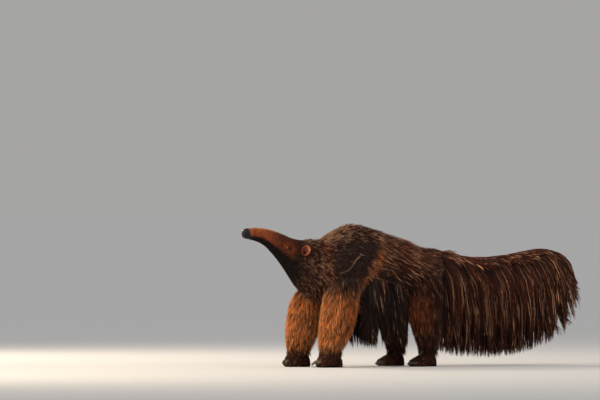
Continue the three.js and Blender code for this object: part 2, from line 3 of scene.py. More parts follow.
import bmesh
import bpy
import numpy as np
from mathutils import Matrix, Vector


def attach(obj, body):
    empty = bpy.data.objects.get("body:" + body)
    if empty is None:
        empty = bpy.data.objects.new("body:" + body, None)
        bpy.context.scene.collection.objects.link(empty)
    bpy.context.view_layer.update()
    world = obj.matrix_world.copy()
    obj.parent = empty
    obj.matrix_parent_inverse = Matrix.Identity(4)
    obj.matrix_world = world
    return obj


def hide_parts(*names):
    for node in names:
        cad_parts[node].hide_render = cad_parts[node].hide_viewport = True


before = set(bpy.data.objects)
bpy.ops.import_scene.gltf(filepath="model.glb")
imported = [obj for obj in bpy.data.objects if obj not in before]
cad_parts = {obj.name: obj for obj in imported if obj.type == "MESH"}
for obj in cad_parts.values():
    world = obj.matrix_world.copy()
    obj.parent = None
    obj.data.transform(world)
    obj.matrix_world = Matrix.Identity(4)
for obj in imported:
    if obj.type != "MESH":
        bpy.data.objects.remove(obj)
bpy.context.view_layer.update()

# Skin. The hide covers the whole animal in one piece, with the legs and feet joined to the trunk as tubes.
# Under long coat it lies well below the tips, and only the face and the feet show much of it.
# Sections are in millimetres: place along from the nose tip, top, bottom, widest level and half width.
BODY = [
    [0, 648, 628, 638, 7],
    [4, 655, 620, 638, 13],
    [13, 661, 614, 638, 18],
    [30, 664, 611, 638, 21],
    [70, 665, 603, 636, 24],
    [111, 663, 587, 630, 29],
    [167, 651, 541, 612, 38],
    [222, 632, 480, 585, 50],
    [267, 615, 420, 562, 60],
    [300, 608, 378, 540, 70],
    [350, 604, 340, 505, 88],
    [420, 604, 305, 480, 108],
    [500, 636, 284, 460, 128],
    [594, 658, 276, 440, 134],
    [700, 632, 270, 425, 136],
    [800, 590, 266, 420, 140],
    [900, 566, 272, 425, 140],
    [970, 546, 300, 430, 130],
    [1030, 536, 345, 440, 108],
    [1080, 528, 400, 456, 76],
    [1105, 512, 430, 466, 48],
]
# Along the trunk, how far the ridge of the back stands up, and how deep the skin lies below the coat's tips
CREST = [[440, 0], [560, 12], [700, 22], [800, 34], [900, 30], [1000, 18], [1105, 24]]
COAT_DEPTH = [[0, 0], [30, 0.8], [300, 2], [350, 6], [600, 9], [680, 14], [1105, 14]]
TAIL_CORE = [
    [1030, 540, 372, 460, 88],
    [1070, 536, 350, 450, 74],
    [1110, 530, 330, 440, 56],
    [1210, 508, 300, 424, 50],
    [1316, 500, 290, 414, 48],
    [1444, 508, 288, 414, 45],
    [1560, 524, 300, 418, 41],
    [1640, 534, 330, 430, 36],
    [1690, 524, 380, 446, 26],
    [1716, 504, 420, 462, 12],
]
TAIL_BLEND = (990, 1090)
# Level sections of a left leg: height, middle along, middle across, half length, half width
FORELEG = [
    [70, 416, 114, 54, 45],
    [110, 426, 115, 69, 51],
    [180, 444, 118, 87, 59],
    [260, 462, 118, 94, 62],
    [330, 482, 110, 98, 59],
    [400, 516, 96, 92, 52],
    [480, 556, 70, 74, 44],
]
HINDLEG = [
    [62, 958, 114, 42, 38],
    [120, 952, 114, 54, 46],
    [200, 942, 114, 76, 56],
    [280, 934, 112, 96, 62],
    [360, 944, 102, 104, 60],
    [440, 962, 82, 92, 48],
]
LEG_COAT = 15.0
# Upright sections of a left foot, in the same columns as the trunk's
FORE_FOOT = [
    [352, 34, -8, 14, 22],
    [366, 58, -10, 18, 38],
    [400, 84, -12, 24, 47],
    [432, 86, -12, 24, 46],
    [458, 62, -10, 20, 39],
    [478, 28, -8, 12, 18],
]
HIND_FOOT = [
    [868, 30, -6, 12, 26],
    [884, 38, -10, 12, 40],
    [920, 56, -12, 16, 43],
    [960, 78, -12, 24, 38],
    [984, 60, -10, 22, 31],
    [1002, 28, -8, 12, 14],
]
FOOT_COAT = 2.0
STANCE = 114.0
# Heights between which the stride of a leg fades out towards its top
STEP_FADE = (280, 560)
NOSE_TO_ORIGIN = 946.0
HANDS = [
    {"hand": "left", "side": -1, "fore_step": 0, "hind_step": 0, "flank_step": 0},
    {"hand": "right", "side": 1, "fore_step": -46, "hind_step": -44, "flank_step": -36},
]
FLESH = ["nose", "head", "neck", "torso_front", "torso_rear", "tail_root", "tail_middle", "tail_end"]
LIMB_NODES = ("flank", "foreleg", "forefoot", "hindleg", "hindfoot")
FLESH += [node + "_" + one["hand"] for one in HANDS for node in LIMB_NODES]


def smooth(value, low=0.0, high=1.0):
    """0 below low, 1 above high, and a smooth rise between."""
    t = np.clip((value - low) / (high - low), 0, 1)
    return t * t * (3 - 2 * t)


def between(value, low, high, end, past):
    """1 from high to end, falling smoothly to 0 at low and at past."""
    return smooth(value, low, high) * (1 - smooth(value, end, past))


def bump(value, middle, width):
    """1 at the middle, falling off smoothly over the width."""
    return np.exp(-(((value - middle) / width) ** 2))


def through(rows, at):
    """A smooth curve through rows whose first number is the place along, which never swings past its rows."""
    rows = np.asarray(rows, float)
    x, y = rows[:, 0], rows[:, 1:]
    slope = np.diff(y, axis=0) / np.diff(x)[:, None]
    before, after = slope[:-1], slope[1:]
    agree = before * after > 0
    inner = np.where(agree, 2 * before * after / np.where(agree, before + after, 1), 0)
    tangent = np.vstack([slope[:1], inner, slope[-1:]])
    at = np.clip(at, x[0], x[-1])
    i = np.clip(np.searchsorted(x, at, side="right") - 1, 0, len(x) - 2)
    span = (x[i + 1] - x[i])[..., None]
    t = ((at - x[i]) / (x[i + 1] - x[i]))[..., None]
    leave = tangent[i] * span * t * (1 - t) ** 2
    arrive = tangent[i + 1] * span * t * t * (t - 1)
    return np.moveaxis(y[i] + (y[i + 1] - y[i]) * smooth(t) + leave + arrive, -1, 0)


def upright(rows, along, angle, grow=0.0, across=0.0, step=0.0):
    """Points on upright oval sections. Angle 0 is to the right, and a quarter turn is the top."""
    top, bottom, wide, half = through(rows, np.asarray(along) - step)
    sine = np.sin(angle)
    rise = np.where(sine > 0, top - wide, wide - bottom) + grow
    y = across + (half + grow) * np.cos(angle)
    return np.stack(np.broadcast_arrays(along, y, wide + rise * sine), -1)


def level(rows, height, angle, grow, side, step):
    """Points on level oval sections of a limb. Angle 0 is to the rear, and a quarter turn is outwards."""
    along, across, half_length, half_width = through(rows, height)
    carried = step * (1 - smooth(np.asarray(height, float), *STEP_FADE))
    x = along + carried + (half_length + grow) * np.cos(angle)
    y = side * (across + (half_width + grow) * np.sin(angle))
    return np.stack(np.broadcast_arrays(x, y, height), -1)


# Cheek, brow and the hollow before the eye: rise, place along and its spread, height and its spread
HEAD_FORMS = [
    [4.0, 262, 30, 505, 36],
    [3.0, 236, 20, 590, 10],
    [-2.5, 200, 16, 576, 16],
]


def bulge(points, angle):
    """The forms of the head, raised from its plain sections."""
    x, z = points[..., 0], points[..., 2]
    rise = sum(
        high * np.exp(-(((x - along) / long) ** 2) - (((z - height) / tall) ** 2))
        for high, along, long, height, tall in HEAD_FORMS
    )
    rise = rise * smooth(np.abs(np.cos(angle)), 0.2, 0.7)
    points[..., 1] += rise * np.cos(angle)
    points[..., 2] += rise * np.sin(angle)
    return points


def outline(along, angle, grow=0.0):
    """The trunk out to the tips of its coat, with the crest of the back."""
    points = upright(BODY, along, angle, grow)
    points[..., 2] += np.maximum(0, np.sin(angle)) ** 3 * through(CREST, along)[0]
    return bulge(points, angle)


def trunk_skin(along, angle, grow=0.0):
    """The trunk and the tail's core below the coat."""
    ridge = np.maximum(0, np.sin(angle)) ** 3
    body = upright(BODY, along, angle, grow - through(COAT_DEPTH, along)[0] * (1 - ridge))
    body[..., 2] += ridge * through(CREST, along)[0] / 2
    body = bulge(body, angle)
    tail = upright(TAIL_CORE, along, angle, grow)
    return body + (tail - body) * smooth(np.asarray(along, float), *TAIL_BLEND)[..., None]


def metres(points):
    """Millimetres from the nose tip as metres from the model's origin."""
    return (points - np.array([NOSE_TO_ORIGIN, 0, 0])) / 1000


def tube(section, places, around):
    """A closed tube with a ring at each place of a section, as a bmesh in millimetres."""
    bm = bmesh.new()
    bmesh.ops.create_cone(bm, cap_ends=True, cap_tris=True, segments=around, radius1=1, radius2=1, depth=1)
    long_edges = [e for e in bm.edges if abs(e.verts[0].co.z - e.verts[1].co.z) > 0.5]
    bmesh.ops.subdivide_edges(bm, edges=long_edges, cuts=len(places) - 2, use_grid_fill=True)
    at = np.array([v.co for v in bm.verts])
    ring = np.rint((at[:, 2] + 0.5) * (len(places) - 1)).astype(int)
    place = np.asarray(places, float)[ring]
    on_rim = np.hypot(at[:, 0], at[:, 1]) > 0.5
    rim = section(place, np.arctan2(at[:, 1], at[:, 0]))
    middle = (section(place, 0 * place) + section(place, 0 * place + math.pi)) / 2
    for v, point in zip(bm.verts, np.where(on_rim[:, None], rim, middle)):
        v.co = point
    bmesh.ops.recalc_face_normals(bm, faces=bm.faces)
    return bm


def placed(name, data):
    """A new object in the scene."""
    made = bpy.data.objects.new(name, data)
    bpy.context.scene.collection.objects.link(made)
    return made


def as_object(bm, name):
    """The bmesh in millimetres as an object in metres, with its place in its mesh."""
    for v, point in zip(bm.verts, metres(np.array([v.co for v in bm.verts]))):
        v.co = point
    mesh = bpy.data.meshes.new(name)
    bm.to_mesh(mesh)
    bm.free()
    return placed(name, mesh)


TRUNK_PLACES = np.concatenate([
    [0, 1.2, 2.8, 5, 8],
    np.arange(11, 330, 3.4),
    np.arange(334, 480, 8),
    np.arange(488, 1040, 14),
    np.arange(1054, 1700, 18),
    [1706, 1716],
])
TRUNK_AROUND = 96
trunk = tube(trunk_skin, TRUNK_PLACES, TRUNK_AROUND)

# The sockets, lids and nostrils are finer than the rest of the hide, so the mesh is cut smaller there
EYE = {"along": 228, "across": 43.5, "height": 567, "radius": 8.5}
EYE_REACH = 26
BESIDE_EYE = 30
LID = {"half_length": 7.6, "half_height": 4.6, "lean": 0.35, "sink": 7.5}
NOSTRIL = {"along": 1.5, "across": 8, "height": 646}
NOSTRIL_REACH = 10
# Rims and grooves round the eye, the nostril and the mouth: rise, distance from the middle, and width.
# For the lids, distance and width count in half lids.
LID_RIM = (2.6, 1.35, 0.42)
LID_GROOVE = (-1.3, 2.3, 0.4)
UPPER_FOLD = (1.6, 3.1, 0.6)
LID_END = 6
NOSTRIL_HOLE = (-5.0, 0, 3.4)
NOSTRIL_RIM = (0.5, 6, 2.4)
MOUTH_GROOVE = (-2.4, 0, 1.5)
UPPER_LIP = (0.8, 4, 2)
WRINKLE = 0.5


def near_feature(face):
    """Whether a face of the head lies by an eye or a nostril."""
    x, y, z = face.calc_center_median()
    eye = math.dist((x, abs(y), z), (EYE["along"], EYE["across"] + EYE["radius"], EYE["height"]))
    nostril = math.dist((x, abs(y), z), tuple(NOSTRIL.values()))
    return eye < EYE_REACH or nostril < NOSTRIL_REACH


def rim(distance, rise, at, width):
    """A rounded rim, or a groove, at a distance from a middle."""
    return rise * bump(distance, at, width)


fine = {e for f in trunk.faces if near_feature(f) for e in f.edges}
bmesh.ops.subdivide_edges(trunk, edges=list(fine), cuts=2, use_grid_fill=True)
trunk.normal_update()
points = np.array([v.co for v in trunk.verts])
normals = np.array([v.normal for v in trunk.verts])
x, y, z = points[:, 0], np.abs(points[:, 1]), points[:, 2]
# Lids: a rim round the eye, a fold above it, and the skin drawn in behind the eyeball
eye_x, eye_z = x - EYE["along"], z - EYE["height"]
long_way = (eye_x * math.cos(LID["lean"]) - eye_z * math.sin(LID["lean"])) / LID["half_length"]
high_way = (eye_x * math.sin(LID["lean"]) + eye_z * math.cos(LID["lean"])) / LID["half_height"]
reach = np.hypot(long_way, high_way)
push = -LID["sink"] * np.maximum(0, 1 - reach ** 4)
push += rim(reach, *LID_RIM)
push += rim(reach, *LID_GROOVE)
push += rim(reach, *UPPER_FOLD) * (high_way > 0)
push *= (y > BESIDE_EYE) & (reach < LID_END)
# Nostrils, and the short line of the mouth
nostril_x, nostril_y, nostril_z = x - NOSTRIL["along"], y - NOSTRIL["across"], z - NOSTRIL["height"]
nostril_gap = np.sqrt(nostril_x ** 2 / 2.2 + nostril_y ** 2 + nostril_z ** 2)
push += rim(nostril_gap, *NOSTRIL_HOLE) + rim(nostril_gap, *NOSTRIL_RIM)
mouth_gap = z - (620 - 0.06 * x)
mouth = between(x, 1, 5, 46, 62) * (np.abs(mouth_gap) < 8)
push += mouth * (rim(mouth_gap, *MOUTH_GROOVE) + rim(mouth_gap, *UPPER_LIP))
# Fine wrinkles across the top of the snout
wrinkles = WRINKLE * np.sin(x / 5.5 + 0.9 * np.sin(z / 9))
push += wrinkles * smooth(x, 30, 60) * (1 - smooth(x, 120, 190)) * smooth(z, 600, 640)
for v, point in zip(trunk.verts, points + normals * push[:, None]):
    v.co = point
skin = as_object(trunk, "skin")

# Each leg and foot is a tube of its own. The furrows between the toes are places across its foot
LIMBS = {
    "fore": {
        "leg": FORELEG, "leg_rings": np.linspace(56, 476, 44), "foot": FORE_FOOT,
        "foot_rings": np.concatenate([[354, 356, 360], np.arange(364, 472, 3.6), [474, 476]]),
        "furrows": [-24, -7, 12, 30], "toes_end": 392,
    },
    "hind": {
        "leg": HINDLEG, "leg_rings": np.linspace(48, 436, 42), "foot": HIND_FOOT,
        "foot_rings": np.concatenate([[870, 872, 876], np.arange(880, 996, 3.6), [998, 1000]]),
        "furrows": [-33, -16.5, 0, 16.5, 33], "toes_end": 912,
    },
}
LEG_AROUND = 40
FOOT_AROUND = 56
TOE_LENGTH = 26
FURROW_DEPTH = 5.0
FURROW_WIDTH = 3.2


def foot_skin(limb, along, angle, side, step):
    """A foot with the furrows between its toes and a flat sole."""
    points = upright(limb["foot"], along, angle, -FOOT_COAT, side * STANCE, step)
    off = side * points[..., 1] - STANCE
    furrow = sum(bump(off, at, FURROW_WIDTH) for at in limb["furrows"])
    front = 1 - smooth(points[..., 0] - step, limb["toes_end"] - TOE_LENGTH, limb["toes_end"])
    points[..., 2] -= FURROW_DEPTH * furrow * front * (np.sin(angle) > 0)
    points[..., 2] = np.maximum(points[..., 2], 0)
    return points


limbs = []
for one in HANDS:
    side = one["side"]
    for end, limb in LIMBS.items():
        leg = lambda height, angle: level(limb["leg"], height, angle, -LEG_COAT, side, one[end + "_step"])
        limbs.append(as_object(tube(leg, limb["leg_rings"], LEG_AROUND), "limb"))
    for end, limb in LIMBS.items():
        step = one[end + "_step"]
        foot = lambda along, angle: foot_skin(limb, along, angle, side, step)
        limbs.append(as_object(tube(foot, limb["foot_rings"] + step, FOOT_AROUND), "limb"))
for limb in limbs:
    joint = skin.modifiers.new("limb", "BOOLEAN")
    joint.operation = "UNION"
    joint.solver = "MANIFOLD"
    joint.object = limb
whole = bpy.data.meshes.new_from_object(skin.evaluated_get(bpy.context.evaluated_depsgraph_get()))
skin.modifiers.clear()
skin.data = whole
for limb in limbs:
    bpy.data.objects.remove(limb)
whole.name = "skin"
whole.shade_smooth()

# Markings. The short face is reddish brown over a black chin, partly painted shade, and a black band runs
# from the throat over the shoulder with a tan border behind it. The forelegs are tan with black wrists, and
# the flank, hind legs and tail are dark. The hair holds these colours, and the skin has the same ones, with
# painted shade making it darker under long coat. A few marks are painted light, as noted where they are made.
def tone(red, green, blue):
    """A colour as seen on a screen, from 0 to 255, as the shader's own."""
    return (np.array([red, green, blue]) / 255) ** 2.2


NOSE_BLACK = tone(13, 13, 19)
BLACK = tone(22, 14, 11)
GREY_BLACK = tone(58, 42, 36)
DARK = tone(44, 24, 17)
BACK_BROWN = tone(66, 34, 21)
RED_BROWN = tone(124, 57, 30)
SNOUT_RED = tone(154, 81, 46)
SNOUT_PURPLE = tone(84, 43, 40)
SNOUT_TOP_HIGHLIGHT = tone(206, 138, 96)
CHEEK_BROWN = tone(106, 53, 30)
TAN = tone(200, 110, 52)
TAN_TIP = tone(240, 166, 98)
BAND_TAN = tone(172, 92, 46)
PALE_TIP = tone(212, 156, 118)
GOLD_TIP_RIM_LIGHT = tone(226, 170, 112)
FOLD_TAN = tone(122, 92, 74)
PINK_EYE_GLINT = tone(196, 122, 112)


def mix(first, second, share):
    """Colours between two, by a share at each place."""
    return first + (second - first) * np.asarray(share)[..., None]


# The rear and the front edge of the black band: height, and place along
STRIPE_REAR = [[300, 470], [351, 530], [413, 608], [500, 672], [606, 730], [700, 780]]
STRIPE_FRONT = [[300, 520], [375, 458], [442, 440], [563, 452], [640, 500]]
# Where one marking gives way to the next, along the body or up from the floor
NECK_START = (255, 330)
BACK_START = (640, 760)
RUMP_START = (900, 1040)
TAIL_START = (1040, 1200)
TAIL_RIDGE = (450, 540)
CHEEK_START = (110, 200)
FACE_END = (232, 300)
WRIST = (58, 112)
FLANK_SHIFT = 60
# The plainer coats: root, tip and share of pale hairs
PLAIN_COATS = {
    "ear": (DARK, mix(BACK_BROWN, BAND_TAN, 0.3), 0.15),
    "foot": (BLACK, mix(BACK_BROWN, RED_BROWN, 0.3), 0.1),
    "fold": (FOLD_TAN * 0.6, FOLD_TAN, 0.3),
}


def height_share(x, z):
    """The height on the trunk's section: 1 at its top, 0 at its widest level and -1 at its bottom."""
    top, bottom, wide, _ = through(BODY, x)
    return np.where(z > wide, (z - wide) / (top - wide), (z - wide) / (wide - bottom))


def markings(points, where):
    """The coat's colours at its root and tip at these places, and the share of hairs with a pale tip."""
    x, y, z = points[..., 0], np.abs(points[..., 1]), points[..., 2]
    flat = np.ones(x.shape)[..., None]
    if where in PLAIN_COATS:
        root, tip, pale = PLAIN_COATS[where]
        return root * flat, tip * flat, pale * flat[..., 0]
    if where == "tail":
        ridge = smooth(z, *TAIL_RIDGE)
        root = mix(BLACK * flat, DARK, 0.4 + 0.5 * ridge)
        tip = mix(DARK * flat, RED_BROWN, 0.2 + 0.24 * ridge)
        return root, tip, 0.1 + 0.06 * ridge + 0.05 * (1 - smooth(x, *TAIL_START))
    if where == "foreleg":
        wrist = 1 - smooth(z, *WRIST)
        # The front of each foreleg is paler, with more pale tips: partly the legs' own tan, partly painted
        # light
        front = smooth(450 - x, -60, 50)
        # Painted shade: the inner side of each foreleg, facing the other leg, is darkened towards brown
        inner = 0.3 * (1 - smooth(y, 66, 100))
        root = mix(mix(RED_BROWN * 0.8 * flat, TAN, 0.15 + 0.6 * front), BLACK, wrist)
        root = mix(root, BACK_BROWN, inner)
        tip = mix(mix(BAND_TAN * flat, TAN_TIP, 0.25 + 0.6 * front), RED_BROWN, inner)
        tip = mix(tip, DARK, wrist)
        share, upper = (0.1 + 0.14 * front) * (1 - wrist), smooth(z, 305, 385)
    elif where == "hindleg":
        # Painted highlight: the front of the thigh is reddish and paler, where light falls on it
        thigh_highlight = bump(z, 250, 90) * smooth(960 - x, -40, 60)
        root = mix(DARK * flat, RED_BROWN, 0.6 * thigh_highlight)
        tip = mix(BACK_BROWN * flat, BAND_TAN, 0.5 * thigh_highlight)
        share, upper = 0.06 + 0.08 * thigh_highlight, smooth(z, 330, 430)
    elif where == "flank":
        root, tip = mix(BLACK * flat, DARK, 0.1), mix(DARK * flat, BLACK, 0.25)
        share, upper = 0.03 + 0.04 * smooth(z, 330, 460), smooth(z, 390, 500)
    if where in ("foreleg", "hindleg", "flank"):
        on_flank = where == "flank"
        above = markings(points + [FLANK_SHIFT, 0, 0] if on_flank else points, "trunk")
        down = upper * (0.6 if on_flank else 1.0)
        return mix(root, above[0], upper), mix(tip, above[1], down), share + (above[2] - share) * down
    rel = height_share(x, z)
    neck, back = smooth(x, *NECK_START), smooth(x, *BACK_START)
    root = mix(BLACK * flat, DARK, 0.5 + 0.5 * back * smooth(rel, -0.5, 0.3))
    reddish = 0.35 * bump(x, 900, 90) * smooth(rel, 0.1, 0.7)
    tip = mix(DARK * flat, RED_BROWN, 0.18 + 0.18 * back + reddish)
    pale = (0.38 - 0.12 * back) * neck * (1 - 0.5 * smooth(rel, -0.2, 0.5) * (1 - back))
    # The face, from the snout back to the cheek, with a painted highlight along the top of the snout, and the
    # chin, black partly in its own colour and partly as painted shade under the head
    face = mix(SNOUT_RED * flat, CHEEK_BROWN, smooth(x, *CHEEK_START))
    face = mix(face, DARK, smooth(x + 0.7 * np.maximum(0, 565 - z), *FACE_END))
    face = mix(face, SNOUT_PURPLE, 0.75 * bump(x, 196, 40) * bump(z, 618, 24))
    face = mix(face, BACK_BROWN, 0.8 * smooth(rel, 0.55, 0.95) * smooth(x, 150, 240))
    # Painted highlight: a paler rim of colour along the top of the snout, standing in for light catching it
    face = mix(face, SNOUT_TOP_HIGHLIGHT, 0.6 * smooth(rel, 0.7, 0.97) * (1 - smooth(x, 140, 230)))
    # The underside of the head turns black: partly dark throat fur, partly painted shade under the head
    face = mix(face, BLACK, smooth(-rel, 0.1 + 0.2 * smooth(x, 100, 140), 0.62))
    root = mix(face, root, neck)
    tip = mix(np.minimum(face * 1.35, 1), tip, neck)
    # Pale tips on the slope before the hump, partly the hair's own and partly painted rim light, and on the
    # hump, and a reddish patch behind the ear
    hump = smooth(rel, 0.5, 0.9) * between(x, 420, 470, 590, 680)
    slope = smooth(rel, 0.72, 0.95) * between(x, 395, 440, 540, 600)
    tip = mix(tip, GOLD_TIP_RIM_LIGHT, 0.08 * slope)
    pale = pale + 0.06 * hump + 0.4 * slope
    root = mix(root, RED_BROWN, 0.7 * bump(x, 425, 42) * bump(z, 566, 22))
    # The black band, its tan border with a pale line along it, and its reddish front edge
    rear = np.interp(z, *np.transpose(STRIPE_REAR))
    front = np.interp(z, *np.transpose(STRIPE_FRONT))
    inside = between(x, front - 40, front + 30, rear - 22, rear - 4) * between(z, 320, 360, 575, 625)
    root = mix(root, GREY_BLACK, inside)
    tip = mix(tip, GREY_BLACK * 1.2, inside)
    pale = pale * (1 - 0.95 * inside)
    border = bump(x - rear, 12, 20) * between(z, 335, 390, 500, 600)
    root = mix(root, BAND_TAN, 0.85 * border)
    tip = mix(tip, TAN, 0.8 * border)
    tip = mix(tip, PALE_TIP, 0.7 * bump(x - rear, -4, 8) * between(z, 440, 500, 600, 650))
    root = mix(root, RED_BROWN, 0.55 * bump(x - front, -22, 18) * bump(z, 480, 90))
    # The dark lower ribs, and the rump that takes on the tail's colours
    low = smooth(-rel, -0.45, 0.3) * between(x, 600, 700, 860, 960)
    root, tip, pale = mix(root, BLACK, 0.85 * low), mix(tip, DARK, 0.75 * low), pale * (1 - 0.6 * low)
    rump, tail = smooth(x, *RUMP_START), markings(points, "tail")
    return mix(root, tail[0], rump), mix(tip, tail[1], rump), pale + (tail[2] - pale) * rump


def read_points(elements, name):
    """The places of a mesh's vertices or faces, in millimetres from the nose tip."""
    values = np.zeros(len(elements) * 3, np.float32)
    elements.foreach_get(name, values)
    return values.reshape(-1, 3).astype(float) * 1000 + [NOSE_TO_ORIGIN, 0, 0]


def paint(mesh, name, colours):
    """The colours of a mesh's vertices, as an attribute that its material reads."""
    solid = np.column_stack([colours, np.ones(len(colours))])
    tint = mesh.color_attributes.new(name, "FLOAT_COLOR", "POINT")
    tint.data.foreach_set("color", solid.astype(np.float32).ravel())


UNDER_COAT_SHADE = 0.6
TAIL_SKIN_START = 1075
LEG_TOP = 330
LEG_INSIDE = 62
FOOT_TOP = 80
spots = read_points(whole.vertices, "co")
x, y, z = spots[:, 0], np.abs(spots[:, 1]), spots[:, 2]
# Painted shade: the skin is darker than the hair's roots, a little on the face and more under long coat
ground = markings(spots, "trunk")[0] * (0.85 - 0.25 * smooth(x, 280, 340))[:, None]
ground = np.where((x > TAIL_SKIN_START)[:, None], markings(spots, "tail")[0] * UNDER_COAT_SHADE, ground)
for where, first, last in (("foreleg", 300, 600), ("hindleg", 800, 1060)):
    on_leg = (z < LEG_TOP) & (y > LEG_INSIDE) & (x > first) & (x < last)
    ground = np.where(on_leg[:, None], markings(spots, where)[0] * UNDER_COAT_SHADE, ground)
ground = np.where(((z < FOOT_TOP) & (x > 280))[:, None], BLACK, ground)
ground = mix(NOSE_BLACK * np.ones((len(x), 1)), ground, smooth(x + 0.2 * (z - 638), 28, 42))
lid_gap = np.hypot((x - EYE["along"]) / 14, (z - EYE["height"]) / 9)
ground = mix(ground, BLACK, (y > BESIDE_EYE) * 0.75 * (1 - smooth(lid_gap, 0.8, 1.5)))
# Painted highlight: a pink glint beside the eye, painted on the skin at the lids' front corner
glint_corner = bump(x - EYE["along"], -9, 4) * bump(z - EYE["height"], 4, 4) * (y > BESIDE_EYE)
ground = mix(ground, PINK_EYE_GLINT, 0.6 * glint_corner)
paint(whole, "hide", ground)


def shade_step(tree, kind, output, sockets, **settings):
    """One step of a material. Each socket takes a value, or a link from another step."""
    node = tree.nodes.new("ShaderNode" + kind)
    for name, value in settings.items():
        setattr(node, name, value)
    for name, value in sockets.items():
        if isinstance(value, bpy.types.NodeSocket):
            tree.links.new(value, node.inputs[name])
        else:
            node.inputs[name].default_value = value
    return node.outputs[output]


def noise(tree, vector, scale, detail=4.0, rough=0.55):
    """A noise texture on a vector."""
    sockets = {"Vector": vector, "Scale": scale, "Detail": detail, "Roughness": rough}
    return shade_step(tree, "TexNoise", "Fac", sockets)


def ranged(tree, value, low, high):
    """A value from 0 to 1 as one between two others."""
    return shade_step(tree, "MapRange", "Result", {"Value": value, "To Min": low, "To Max": high})


def shaded(tree, colour, value):
    """A colour darkened or lightened by a value."""
    return shade_step(tree, "VectorMath", "Vector", {0: colour, "Scale": value}, operation="SCALE")


def stretched(tree, vector, scale):
    """A vector scaled apart along its axes."""
    return shade_step(tree, "Mapping", "Vector", {"Vector": vector, "Scale": scale})


def attribute(tree, name, output="Color"):
    """A named attribute of the mesh."""
    return shade_step(tree, "Attribute", output, {}, attribute_name=name)


def ramp(tree, value, stops):
    """Colours along a value, from the first stop to the last."""
    node = tree.nodes.new("ShaderNodeValToRGB")
    elements = node.color_ramp.elements
    for at, colour in stops[1:-1]:
        elements.new(at)
    for element, (at, colour) in zip(elements, stops):
        element.position = at
        element.color = (*colour, 1)
    tree.links.new(value, node.inputs["Fac"])
    return node.outputs["Color"]


def relief(tree, shader, height, strength, distance):
    """Bump from a height on a shader."""
    sockets = {"Height": height, "Strength": strength, "Distance": distance}
    tree.links.new(shade_step(tree, "Bump", "Normal", sockets), shader.inputs["Normal"])


def finish(name, roughness, specular):
    """A new material with its shader."""
    made = bpy.data.materials.new(name)
    made.use_nodes = True
    shader = made.node_tree.nodes["Principled BSDF"]
    shader.inputs["Roughness"].default_value = roughness
    shader.inputs["Specular IOR Level"].default_value = specular
    return made, made.node_tree, shader


def on_object(tree):
    """The place on the object itself, in metres."""
    return shade_step(tree, "TexCoord", "Object", {})


hide, tree, shader = finish("hide", 0.68, 0.16)
place = on_object(tree)
hairs = noise(tree, stretched(tree, place, (90, 420, 420)), 1.0, 5.0, 0.6)
blotch = ranged(tree, noise(tree, place, 38.0), 0.82, 1.18)
streaks = ranged(tree, hairs, 0.6, 1.4)
colour = shaded(tree, shaded(tree, attribute(tree, "hide"), blotch), streaks)
tree.links.new(colour, shader.inputs["Base Color"])
relief(tree, shader, hairs, 0.55, 0.0012)

nose_skin, tree, shader = finish("nose_skin", 0.34, 0.32)
place = on_object(tree)
pores = shade_step(tree, "TexVoronoi", "Distance", {"Vector": place, "Scale": 620})
tree.links.new(ranged(tree, noise(tree, place, 90.0), 0.36, 0.6), shader.inputs["Roughness"])
tree.links.new(attribute(tree, "hide"), shader.inputs["Base Color"])
relief(tree, shader, pores, 0.35, 0.0006)

NOSE_END = 42
whole.materials.clear()
whole.materials.append(hide)
whole.materials.append(nose_skin)
on_nose = read_points(whole.polygons, "center")[:, 0] < NOSE_END
whole.polygons.foreach_set("material_index", on_nose.astype(np.int32))
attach(skin, "root")
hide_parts(*FLESH)

# Eyes. Small dark balls of glass, deep in the side of the head and set into the sockets from inside.
# Each has a dark brown iris round its pupil, and bulges a little in front of them.
EYE_FACES = (-0.28, 0.95, 0.1)
EYE_BULGE = 0.07
# From the pupil outwards: distance in radii, and the colour there
EYE_RINGS = [
    (0.0, (0.002, 0.002, 0.003)),
    (0.26, (0.003, 0.002, 0.002)),
    (0.32, (0.045, 0.02, 0.01)),
    (0.6, (0.028, 0.012, 0.007)),
    (1.0, (0.012, 0.006, 0.004)),
]
for one in HANDS:
    side, hand = one["side"], one["hand"]
    ball = bmesh.new()
    bmesh.ops.create_uvsphere(ball, u_segments=32, v_segments=20, radius=EYE["radius"])
    middle = np.array([EYE["along"], side * EYE["across"], EYE["height"]])
    outward = np.array(EYE_FACES) * [1, side, 1]
    outward /= np.linalg.norm(outward)
    for v in ball.verts:
        facing = max(0.0, float(np.dot(v.co, outward)) / EYE["radius"])
        v.co *= 1 + EYE_BULGE * smooth(facing, 0.62, 1.0)
        v.co += Vector(middle)
    eye = as_object(ball, "eyeball_" + hand)
    eye.data.shade_smooth()
    front = metres(middle) + outward * EYE["radius"] / 1000
    glass, tree, shader = finish("eye_" + hand, 0.05, 0.25)
    place = on_object(tree)
    gap = shade_step(tree, "VectorMath", "Value", {0: place, 1: front}, operation="DISTANCE")
    radii = shade_step(tree, "Math", "Value", {0: gap, 1: 1000 / EYE["radius"]}, operation="MULTIPLY")
    flecks = ranged(tree, noise(tree, place, 900.0), 0.7, 1.3)
    tree.links.new(shaded(tree, ramp(tree, radii, EYE_RINGS), flecks), shader.inputs["Base Color"])
    eye.data.materials.append(glass)
    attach(eye, "root")
    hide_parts("eye_" + hand)

# Ears. Small round cups of thin skin that stand out behind the eyes and face forwards and outwards.
# Each is reddish brown, paler towards its upper rear rim, with painted shade darkening the bottom of the cup,
# and grows from the skin at its inner end.
EAR = {"along": 303, "across": 80.5, "height": 556, "long": 50, "wide": 40, "deep": 15}
EAR_OPEN = 0.34
EAR_TURN = (0.2, 0.3, 0.42)
EAR_WALL = 1.8
